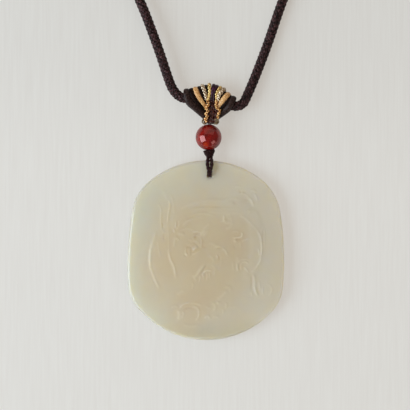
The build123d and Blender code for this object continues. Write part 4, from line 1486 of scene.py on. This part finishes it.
@dataclass
class BeadThread:
    """The dark thread below the bead: a wound knot and two twisted strands through the plaque's hole.

    Attributes:
        tree: The shared node tree.
        hole_offset: How far right of the middle the string lies.
        level: Height of the string's middle.
        diameter: Thickness of a strand.
        thin: Thickness of a strand at and behind the plaque, as a share.
        swelling: Where a strand starts to get thicker, and over which length.
        route: The right strand's way, from the knot through the hole and up behind the plaque, with x
            from the string.
        knot_foot: Where the knot starts.
        knot_length: Length of the knot.
        knot_reaches: Radius of the knot at its foot and at its top.
        knot_turns: Turns of the winding.
        knot_wire: Radius of the wound thread.
        knot_bulge: How soon the cone widens; below 1 it bulges.
        knot_slope: How far a turn slopes, as a share of its radius.
        knot_lean: How far the knot's top lies left of its foot.
        knot_dive: Share of the winding that dives in under the bead, and by how much.
        knot_core: Radius and height of the rings of the knot's core.
    """

    tree: WindingTree
    hole_offset: float = 0.95
    level: float = 4.0
    diameter: float = 1.22
    thin: float = 0.68
    swelling: Place = (23.2, 2.8)
    route: Sequence[Spot] = (
        (0.2, 29.1, 4.1), (0.45, 28.3, 4.8), (0.58, 27.5, 5.05), (0.7, 26.6, 5.25), (0.5, 25.6, 5.4),
        (0.36, 24.6, 5.5), (0.25, 22.85, 5.25), (0.27, 22.95, 3.4), (0.34, 22.95, 0.75), (0.6, 24.6, 0.5),
        (0.65, 26.7, 0.5), (0.65, 28.2, 1.5), (0.65, 28.8, 2.9))
    knot_foot: float = 28.4
    knot_length: float = 2.85
    knot_reaches: Place = (0.86, 1.98)
    knot_turns: float = 4.25
    knot_wire: float = 0.38
    knot_bulge: float = 0.7
    knot_slope: float = 0.16
    knot_lean: float = 0.15
    knot_dive: Place = (0.1, 0.5)
    knot_core: Sequence[Place] = ((0.2, 0.05), (0.55, 0.15), (0.75, 0.8), (1.25, 1.9), (0.9, 2.2))

    def build(self) -> None:
        """Build the two strands and the knot, and dress the thread inside the bead."""
        plies = Winding(2, self.diameter * 0.2, self.diameter * 0.3, lay=2.4, step=0.09, sides=10)
        start, length = self.swelling
        for side, name, twist in ((-1, "left", Twist.RIGHT), (1, "right", Twist.LEFT)):
            line = Route([(self.hole_offset + side * x, y, z) for x, y, z in self.route]).line()
            swollen = self.thin + (1 - self.thin) * np.clip((line[:, 1] - start) / length, 0.0, 1.0)
            girth = np.where(line[:, 2] > self.level, swollen, self.thin)
            mesh = plies.wind(self.tree, strand_path(line, girth=girth), WAXED_THREAD, twist)
            settle(f"thread_strand_{name}_twisted", mesh, "waxed_thread", f"thread_strand_{name}")
        self.build_knot()
        thread = bpy.data.objects["bead_thread"]
        thread.data.materials.clear()
        thread.data.materials.append(WAXED_THREAD.make())

    def build_knot(self) -> None:
        """Wind the knot as a cone of thread that narrows downwards, over a core."""
        steps, wire = 170, self.knot_wire
        share = np.linspace(0, 1, steps)
        angle = share * self.knot_turns * FULL_TURN
        (bottom, top), (dive, depth) = self.knot_reaches, self.knot_dive
        reach = bottom - wire + (top - bottom) * share ** self.knot_bulge
        reach *= 1 - depth * np.clip((share - 1 + dive) / dive, 0.0, 1.0) ** 2
        slant = self.knot_slope * reach * np.cos(angle) * np.sin(share * math.pi)
        height = self.knot_foot + wire + share * (self.knot_length - 2 * wire) + slant
        middle = self.hole_offset - self.knot_lean * share
        line = np.column_stack([
            middle + reach * np.cos(angle), height, self.level + reach * np.sin(angle)])
        coil = Winding(2, wire * 0.5, wire * 0.56, lay=1.7).wind(self.tree, strand_path(line), WAXED_THREAD)
        sides, centre = 24, self.hole_offset - 0.05
        points = [
            (centre + r * math.cos(a), self.knot_foot + h, self.level - r * math.sin(a))
            for r, h in self.knot_core for a in np.linspace(0, FULL_TURN, sides, endpoint=False)]
        faces = band_faces(len(self.knot_core), sides)
        faces += [tuple(range(sides))[::-1], tuple(range(len(points) - sides, len(points)))]
        core = shell("core", np.array(points), faces, WAXED_THREAD)
        settle("bead_knot_wound", joined("bead_knot_wound", [coil, core]), "waxed_thread", "bead_knot")


@dataclass
class NeckCord:
    """The braided neck cord, one closed loop of its real length.

    Attributes:
        tree: The shared node tree.
        plait: One half of the plait's strands, which turn the same way.
        core: The core inside the plait.
        pieces: The lengths that the cord is cut into, from behind the neck and round.
        crown: Its way under the fan, from the left.
        surface: Its way on the table, from the fan's right side round to its left.
    """

    tree: WindingTree
    plait: Winding = Winding(6, 1.02, 0.57, lay=9.0, weave=0.26, step=0.27, sides=10, flatness=0.53)
    core: Winding = Winding(1, 0.0, 1.1, step=1.0, sides=12)
    pieces: Sequence[str] = ("left", "front", "right", "back")
    crown: Sequence[Spot] = (
        (-12.0, 53.6, 3.6), (-10.8, 50.3, 3.4), (-9.6, 48.5, 3.4), (-8.2, 47.3, 3.4), (-6.5, 46.7, 3.4),
        (-4.2, 47.0, 3.4), (-1.7, 47.85, 3.4), (0.5, 48.7, 3.4), (2.4, 48.6, 3.4), (4.0, 47.45, 3.4),
        (5.4, 46.0, 3.4), (7.4, 44.65, 3.4), (9.08, 44.37, 3.4), (10.49, 44.67, 3.3), (11.61, 45.58, 3.2),
        (12.3, 47.2, 3.0), (13.4, 49.6, 2.6), (15.4, 54.4, 2.1))
    surface: Sequence[Spot] = (
        (19.3, 64.6, 1.7), (23.5, 77.4, 1.6), (32.5, 100.0, 1.6), (49.0, 132.0, 1.6), (66.0, 168.0, 1.6),
        (76.0, 208.0, 1.6), (68.0, 248.0, 1.6), (40.0, 276.0, 1.6), (3.0, 285.0, 1.6), (-34.0, 278.0, 1.6),
        (-65.0, 253.0, 1.6), (-77.0, 214.0, 1.6), (-69.0, 174.0, 1.6), (-51.0, 138.0, 1.6),
        (-33.3, 104.0, 2.3), (-20.9, 78.4, 3.5), (-14.95, 62.6, 3.8))

    def line(self) -> Array:
        """Work out the cord's smooth line.

        Returns:
            Its points, which start and end in the hidden stretch behind the neck.
        """
        line = Route([*self.crown, *self.surface], closed=True, fineness=40).line()[:-1]
        line = np.roll(line, -int(np.argmax(line[:, 1])), axis=0)
        return np.vstack([line, line[:1]])

    def build(self) -> Array:
        """Plait the cord in pieces, with a whole number of turns round the loop.

        Returns:
            The points of its line.
        """
        line = self.line()
        lengths = lengths_along(line)
        whole = lengths[-1]
        LOG.info("neck cord: %.1f mm round", whole)
        turns = round(whole * self.plait.strands / self.plait.lay)
        plait = replace(self.plait, lay=whole * self.plait.strands / turns)
        cuts = np.searchsorted(lengths, np.linspace(0, whole, len(self.pieces) + 1))
        cuts[-1] = len(line) - 1
        for place, start, end in zip(self.pieces, cuts, cuts[1:]):
            part = strand_path(line[start:end + 1], Carry.LEVEL, start=float(lengths[start]))
            meshes = [plait.wind(self.tree, part, BRAIDED_CORD, twist) for twist in Twist]
            meshes.append(self.core.wind(self.tree, part, BRAIDED_CORD))
            bpy.data.meshes.remove(part)
            name = f"neck_cord_plait_{place}"
            settle(name, joined(name, meshes), "braided_cord", "neck_cord")
        return line


@dataclass(frozen=True)
class FanStrand:
    """One strand of the fan.

    Attributes:
        node: The CAD node that it replaces, or nothing for a thin filling between two strands.
        slot: Its material slot.
        finish: Its finish.
        diameter: Its thickness in millimetres.
        crossing: Where it passes over the neck cord, as x and y.
        foot: Its end beside the column, as x, y and z from the string's frame.
        elbow: The point that a bowed strand leads past, or None.
        plies: 3 for a twisted foil thread, 1 for a satin cord.
        flatness: Thickness of a satin cord as a share of its width.
        taper: Width at its feet as a share.
    """

    node: str
    slot: str
    finish: Finish
    diameter: float
    crossing: Place
    foot: Spot
    elbow: Spot | None = None
    plies: int = 1
    flatness: float = 1.0
    taper: float = 0.72

    @property
    def winding(self) -> Winding:
        """How the strand is made.

        Returns:
            One smooth cord, or plies twisted together.
        """
        if self.plies == 1:
            return Winding(1, 0.0, self.diameter / 2, step=0.2, sides=20, flatness=self.flatness)
        return Winding(self.plies, self.diameter * 0.24, self.diameter * 0.27, lay=2.6)


@dataclass
class StrandFan:
    """The fan of satin cords and foil threads that carries the column on the neck cord.

    Attributes:
        tree: The shared node tree.
        cord_line: The neck cord's line.
        cord_diameter: The neck cord's thickness.
        wrap_gap: Air between the neck cord and a strand.
        wrap_lead: How far before the neck cord a strand starts to bend round it.
        foot_share: Part of a strand's length at each end over which it tapers.
        string: The string's line.
        strands: The strands, from left to right, then the fillings between them; the black fillings are
            partly a painted shade for the gaps.
    """

    tree: WindingTree
    cord_line: Array
    cord_diameter: float = 3.2
    wrap_gap: float = 0.15
    wrap_lead: float = 0.6
    foot_share: float = 0.25
    string: StringFrame = field(default_factory=StringFrame)
    strands: Sequence[FanStrand] = (
        FanStrand(
            "fan_dark_left", "dark_satin", DARK_SATIN, 2.1, (-6.0, 46.85), (-1.4, 5.95, 0.8),
            (-4.45, 8.6, 1.4), flatness=0.62),
        FanStrand(
            "fan_black_left", "dark_satin", BLACK_SATIN_SHADE, 1.9, (-4.1, 47.15), (-1.3, 7.4, 0.6), flatness=0.65),
        FanStrand(
            "fan_tan_left", "tan_satin", TAN_SATIN, 1.85, (-2.75, 47.5), (-1.35, 8.7, 0.8),
            flatness=0.7, taper=0.65),
        FanStrand(
            "fan_silver_left", "silver_thread", SILVER_THREAD, 1.3, (-0.5, 48.3), (-1.7, 11.2, 1.6), plies=3),
        FanStrand("fan_gold_left", "gold_thread", GOLD_THREAD, 1.15, (1.0, 48.7), (-1.1, 11.0, 1.9), plies=3),
        FanStrand(
            "fan_plum_left", "plum_satin", PLUM_SATIN, 1.25, (1.9, 48.7), (0.0, 11.2, 1.8), flatness=0.8),
        FanStrand(
            "fan_plum_right", "plum_satin", PLUM_SATIN, 1.2, (2.5, 48.5), (0.75, 11.2, 1.8), flatness=0.8),
        FanStrand("fan_gold_right", "gold_thread", GOLD_THREAD, 1.1, (3.1, 48.2), (1.5, 11.0, 1.7), plies=3),
        FanStrand(
            "fan_silver_right", "silver_thread", SILVER_THREAD, 1.4, (3.8, 47.6), (2.2, 10.9, 1.5), plies=3),
        FanStrand(
            "fan_tan_right", "tan_satin", TAN_SATIN, 1.7, (5.2, 46.2), (1.7, 8.6, 0.8),
            flatness=0.75, taper=0.65),
        FanStrand(
            "fan_dark_right", "dark_satin", DARK_SATIN, 1.95, (7.35, 44.7), (1.95, 6.15, 0.8),
            (4.25, 8.25, 1.3), flatness=0.65),
        FanStrand("", "gold_thread", GOLD_THREAD, 0.42, (-3.5, 47.25), (-1.5, 8.2, 1.2), plies=3),
        # Black fillings: dark satin closing the gaps, partly a painted shade for the gaps between the strands
        FanStrand("", "dark_satin", BLACK_SATIN_SHADE, 1.9, (-5.05, 47.0), (-1.2, 6.9, 0.3), flatness=0.5),
        FanStrand("", "dark_satin", BLACK_SATIN_SHADE, 1.5, (-1.6, 47.9), (-1.3, 10.0, 0.8), flatness=0.7),
        FanStrand("", "dark_satin", BLACK_SATIN_SHADE, 1.1, (0.25, 48.6), (-0.9, 11.0, 1.2), flatness=0.7),
        FanStrand("", "dark_satin", BLACK_SATIN_SHADE, 0.9, (2.8, 48.4), (1.2, 11.0, 1.2), flatness=0.7),
        FanStrand("", "dark_satin", BLACK_SATIN_SHADE, 1.1, (4.5, 46.9), (1.8, 10.0, 0.8), flatness=0.7),
        FanStrand("", "dark_satin", BLACK_SATIN_SHADE, 1.9, (6.2, 45.4), (1.7, 7.1, 0.4), flatness=0.5))

    def route(self, strand: FanStrand) -> Route:
        """Lay a strand from its foot over the neck cord and back behind it.

        Args:
            strand: The strand.

        Returns:
            Its way in the pendant's frame.
        """
        near = int(np.argmin(np.linalg.norm(self.cord_line[:, :2] - np.array(strand.crossing), axis=1)))
        before, crossing, after = (self.string.into(self.cord_line[near + i]) for i in (-2, 0, 2))
        ahead = after - before
        inward = Vector((-ahead.y, ahead.x, 0.0)).normalized()
        if inward.y > 0:
            inward = -inward
        wrap = (self.cord_diameter + strand.diameter * strand.flatness) / 2 + self.wrap_gap
        ends = [end for end in (strand.foot, strand.elbow) if end]
        over, under = (
            [Vector((x, y, side * z)) for x, y, z in ends]
            + [middle + Vector((0, 0, side * wrap)) for middle in (
                crossing + inward * self.wrap_lead, crossing - inward * wrap)]
            for side in (1, -1))
        return Route(self.string.place([*over, *under[::-1]]))

    def build(self) -> None:
        """Build and dress the fan's strands."""
        for number, strand in enumerate(self.strands):
            line = self.route(strand).line()
            lengths = lengths_along(line)
            share = lengths / lengths[-1]
            widening = np.clip(np.minimum(share, 1 - share) / self.foot_share, 0, 1)
            path = strand_path(line, girth=strand.taper + (1 - strand.taper) * widening)
            mesh = strand.winding.wind(self.tree, path, strand.finish)
            name = f"{strand.node}_laid" if strand.node else f"fan_filling_{number}"
            nodes = [strand.node] if strand.node else []
            settle(name, mesh, strand.slot, *nodes)


@dataclass
class KnotColumn:
    """The plaited column with its gold zigzag edges and the two end loops.

    Attributes:
        tree: The shared node tree.
        offset: How far right of the string's line the column stands.
        foot: Where it starts along the string.
        length: Its length.
        plait: One half of its plait's strands, which turn the same way.
        core: The core inside the plait.
        backing: The cord behind each gold edge.
        backing_place: Where that cord starts, from the column's foot, as x, y and z.
        backing_run: Number of its points, and their distance.
        head: The thread wound round the column's head.
        head_turns: Where the winding starts, in radians, and its turns.
        head_reach: Half of its width and of its thickness.
        edge_level: Height of the gold edges above the string's line.
        left_edge: Turning points of the left edge.
        right_edge: Turning points of the right edge.
        edge_radii: Radius of the left and of the right edge.
        left_loop: Middle of the left loop, as x, y and z.
        right_loop: Middle of the right loop, as x, y and z.
        loop_radius: Radius of a loop.
        loop_thread: The loop's thread.
        frayed: The frayed end inside a loop.
        frayed_reach: Half of the frayed end's width and length.
        frayed_rise: Height of the frayed end over the loop.
        string: The string's line.
    """

    tree: WindingTree
    offset: float = 0.45
    foot: float = 4.1
    length: float = 7.5
    plait: Winding = Winding(4, 1.0, 0.46, lay=7.0, weave=0.13, step=0.12, sides=12, flatness=0.8)
    core: Winding = Winding(1, 0.0, 1.05, step=0.5, sides=16)
    backing: Winding = Winding(2, 0.34, 0.45, lay=3.0, step=0.14, sides=12)
    backing_place: Spot = (1.5, 0.35, 0.75)
    backing_run: tuple[int, float] = (14, 0.5)
    head: Winding = Winding(2, 0.17, 0.22, lay=1.6)
    head_turns: Place = (0.5, 3.1)
    head_reach: Place = (1.95, 1.7)
    edge_level: float = 2.05
    left_edge: Sequence[Place] = (
        (-1.3, 11.0), (-0.6, 10.1), (-1.5, 8.8), (-0.7, 7.75), (-1.5, 6.85), (-0.7, 6.0), (-1.7, 5.25),
        (-0.9, 4.5))
    right_edge: Sequence[Place] = (
        (1.6, 11.3), (1.45, 10.2), (1.6, 9.1), (3.1, 8.1), (2.1, 6.75), (2.5, 5.75))
    edge_radii: Place = (0.47, 0.42)
    left_loop: Spot = (-1.62, 4.72, 0.4)
    right_loop: Spot = (1.95, 4.85, 1.5)
    loop_radius: float = 0.72
    loop_thread: Winding = Winding(1, 0.0, 0.22, step=0.08, sides=12)
    frayed: Winding = Winding(2, 0.12, 0.15, lay=0.9, step=0.08)
    frayed_reach: Place = (0.2, 0.24)
    frayed_rise: float = 0.1
    string: StringFrame = field(default_factory=StringFrame)

    def build(self) -> None:
        """Build the column, its edges and its loops."""
        self.build_column()
        self.build_edge("left", self.left_edge, self.edge_radii[0])
        self.build_edge("right", self.right_edge, self.edge_radii[1])
        self.build_loop("left", self.left_loop, -1, SILVER_THREAD)
        self.build_loop("right", self.right_loop, 1, GOLD_THREAD)

    def path(self, points: Sequence[Point], girth: Array | None = None) -> bpy.types.Mesh:
        """Return the bare line through points beside the string."""
        return strand_path(np.array(self.string.place(points)), girth=girth)

    def build_column(self) -> None:
        """Plait the column over a core, with a cord behind each gold edge and a wound head."""
        rows, foot_gap, top_gap = 40, 0.25, 0.1
        heights = np.linspace(self.foot + foot_gap, self.foot + self.length + top_gap, rows)
        # Slimmest at both ends, full within the first quarter
        girth = 0.86 + 0.14 * np.sin(np.linspace(0, 1, rows) * math.pi) ** 0.6
        path = self.path([(self.offset, height, 0.0) for height in heights], girth)
        meshes = [self.plait.wind(self.tree, path, KNOT_SATIN, twist) for twist in Twist]
        meshes.append(self.core.wind(self.tree, path, KNOT_SATIN))
        (x, y, z), (count, pitch) = self.backing_place, self.backing_run
        for side in (-1, 1):
            spots = [(self.offset + side * x, self.foot + y + pitch * i, z) for i in range(count)]
            meshes.append(self.backing.wind(self.tree, self.path(spots), DARK_SATIN))
        start, turns = self.head_turns
        wide, thick = self.head_reach
        below_top, pitch, slant = 0.75, 0.075, 0.25
        top = self.foot + self.length - below_top
        spots = [
            (self.offset + wide * math.cos(a), top + pitch * a + slant * math.cos(a), thick * math.sin(a))
            for a in np.linspace(start, FULL_TURN * turns, 150)]
        meshes.append(self.head.wind(self.tree, self.path(spots), KNOT_SATIN))
        settle("knot_column_plait", joined("knot_column_plait", meshes), "dark_satin", "knot_column")

    def build_edge(self, name: str, spots: Sequence[Place], radius: float) -> None:
        """Lay a gold cord that zigzags up one side of the column.

        Args:
            name: The side's name.
            spots: Its turning points, from the string's frame.
            radius: Its radius.
        """
        line = Route(self.string.place([(x, y, self.edge_level) for x, y in spots])).line()
        winding = Winding(2, radius * 0.56, radius * 0.5, lay=2.0, step=0.08, sides=10)
        mesh = winding.wind(self.tree, strand_path(line), ROSE_GOLD_THREAD)
        settle(f"gold_edge_{name}_twisted", mesh, "gold_thread", f"gold_edge_{name}")

    def build_loop(self, name: str, middle: Spot, side: int, frayed_finish: Finish) -> None:
        """Bend a thread's end into a small open loop beside the column's foot, with a frayed end inside.

        Args:
            name: The side's name.
            middle: The loop's middle, from the string's frame.
            side: -1 for the left, 1 for the right.
            frayed_finish: Finish of the frayed end.
        """
        x, y, z = middle
        open_to = math.radians(150)
        meshes = []
        for (wide, long), level, winding, finish in (
                ((self.loop_radius, self.loop_radius), z, self.loop_thread, FRAYED_THREAD),
                (self.frayed_reach, z + self.frayed_rise, self.frayed, frayed_finish)):
            points = [
                (x + side * wide * math.cos(a), y + long * math.sin(a), level)
                for a in np.linspace(-open_to, open_to, 15)]
            line = Route(self.string.place(points)).line()
            meshes.append(winding.wind(self.tree, strand_path(line), finish))
        settle(f"end_loop_{name}_bent", joined(f"end_loop_{name}", meshes), "dark_satin", f"end_loop_{name}")


@dataclass(frozen=True)
class SoftLight:
    """A rectangular soft light that faces the pendant.

    Attributes:
        name: Its name.
        place: Its place from the pendant, in metres.
        width: Its width in metres.
        height: Its height in metres.
        power: Its power in watts.
        tint: Its colour in hex.
        mirrored: Whether polished pieces reflect it.
    """

    name: str
    place: Spot
    width: float
    height: float
    power: float
    tint: str
    mirrored: bool = True

    def build(self, target: Vector) -> None:
        """Hang the light and point it.

        Args:
            target: What it faces, in metres.
        """
        data = bpy.data.lights.new(self.name, "AREA")
        data.shape = "RECTANGLE"
        data.size, data.size_y = self.width, self.height
        data.energy = self.power
        data.color = linear(self.tint)[:3]
        lamp = link_object(self.name, data)
        lamp.location = target + Vector(self.place)
        lamp.rotation_euler = (-Vector(self.place)).to_track_quat("-Z", "Y").to_euler()
        lamp.visible_camera = False
        lamp.visible_glossy = self.mirrored


@dataclass
class Studio:
    """The table, the lights and the camera of the picture.

    Attributes:
        picture: Width of the picture in pixels.
        pixel: Millimetres in a pixel.
        origin_pixel: Where the plaque's middle is in the picture.
        distance: How far the camera is over the level that the scale holds for.
        level: Height of that level.
        sensor: Width of the camera's sensor.
        table_reach: Half of the paper's width.
        middle: What the lights face, in metres.
        lights: The soft lights.
        air: Colour and strength of the light from all around.
    """

    picture: int = 410
    pixel: float = 0.3077
    origin_pixel: Place = (206.5, 250.4)
    distance: float = 350.0
    level: float = 4.0
    sensor: float = 36.0
    table_reach: float = 3000.0
    middle: Spot = (0.0, 0.01, 0.0)
    lights: Sequence[SoftLight] = (
        SoftLight("window", (-0.83, -0.2, 0.52), 0.88, 0.92, 14.3, "E6F5FF"),
        SoftLight("reflector", (0.61, -0.68, 0.40), 0.55, 0.55, 1.6, "FFF8F0"),
        SoftLight("ceiling", (0.1, 1.1, 0.8), 2.2, 1.5, 5.2, "FFF2E2"),
        SoftLight("overhead", (0.0, 0.0, 1.3), 0.8, 0.8, 1.2, "FFF2E2", mirrored=False))
    air: tuple[str, float] = ("FFF2E4", 0.2)

    def build(self) -> None:
        """Set up the table, the lights and the camera."""
        self.build_table()
        for light in self.lights:
            light.build(Vector(self.middle))
        world = bpy.data.worlds.new("studio_air")
        world.use_nodes = True
        shader = world.node_tree.nodes["Background"]
        tint, strength = self.air
        shader.inputs["Color"].default_value = linear(tint)
        shader.inputs["Strength"].default_value = strength
        bpy.context.scene.world = world
        bpy.context.scene.view_settings.view_transform = "Standard"
        self.build_camera()

    def build_table(self) -> None:
        """Lay the sheet of paper."""
        corners = np.array([(-1, -1, 0), (1, -1, 0), (1, 1, 0), (-1, 1, 0)], float) * self.table_reach
        sheet = link_object("paper_table", shell("paper_table", corners, [(0, 1, 2, 3)], PAPER))

    def build_camera(self) -> None:
        """Point the camera straight down at the middle of the picture."""
        middle = self.picture / 2
        x = (middle - self.origin_pixel[0]) * self.pixel * MM
        y = (self.origin_pixel[1] - middle) * self.pixel * MM
        data = bpy.data.cameras.new("camera")
        data.sensor_width = self.sensor
        data.lens = self.sensor * self.distance / (self.picture * self.pixel)
        camera = link_object("camera", data)
        camera.location = (x, y, (self.distance + self.level) * MM)
        bpy.context.scene.camera = camera


def main() -> None:
    """Build the pendant in order and report each piece."""
    logging.basicConfig(level=logging.INFO, format="%(name)s: %(message)s")
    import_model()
    Studio().build()
    tree = WindingTree()
    cord_line = NeckCord(tree).build()
    StrandFan(tree, cord_line).build()
    KnotColumn(tree).build()
    BeadThread(tree).build()
    AgateBead().build()
    JadePlaque().build()
    bpy.data.node_groups.remove(tree.tree)


if __name__ == "__main__":
    main()
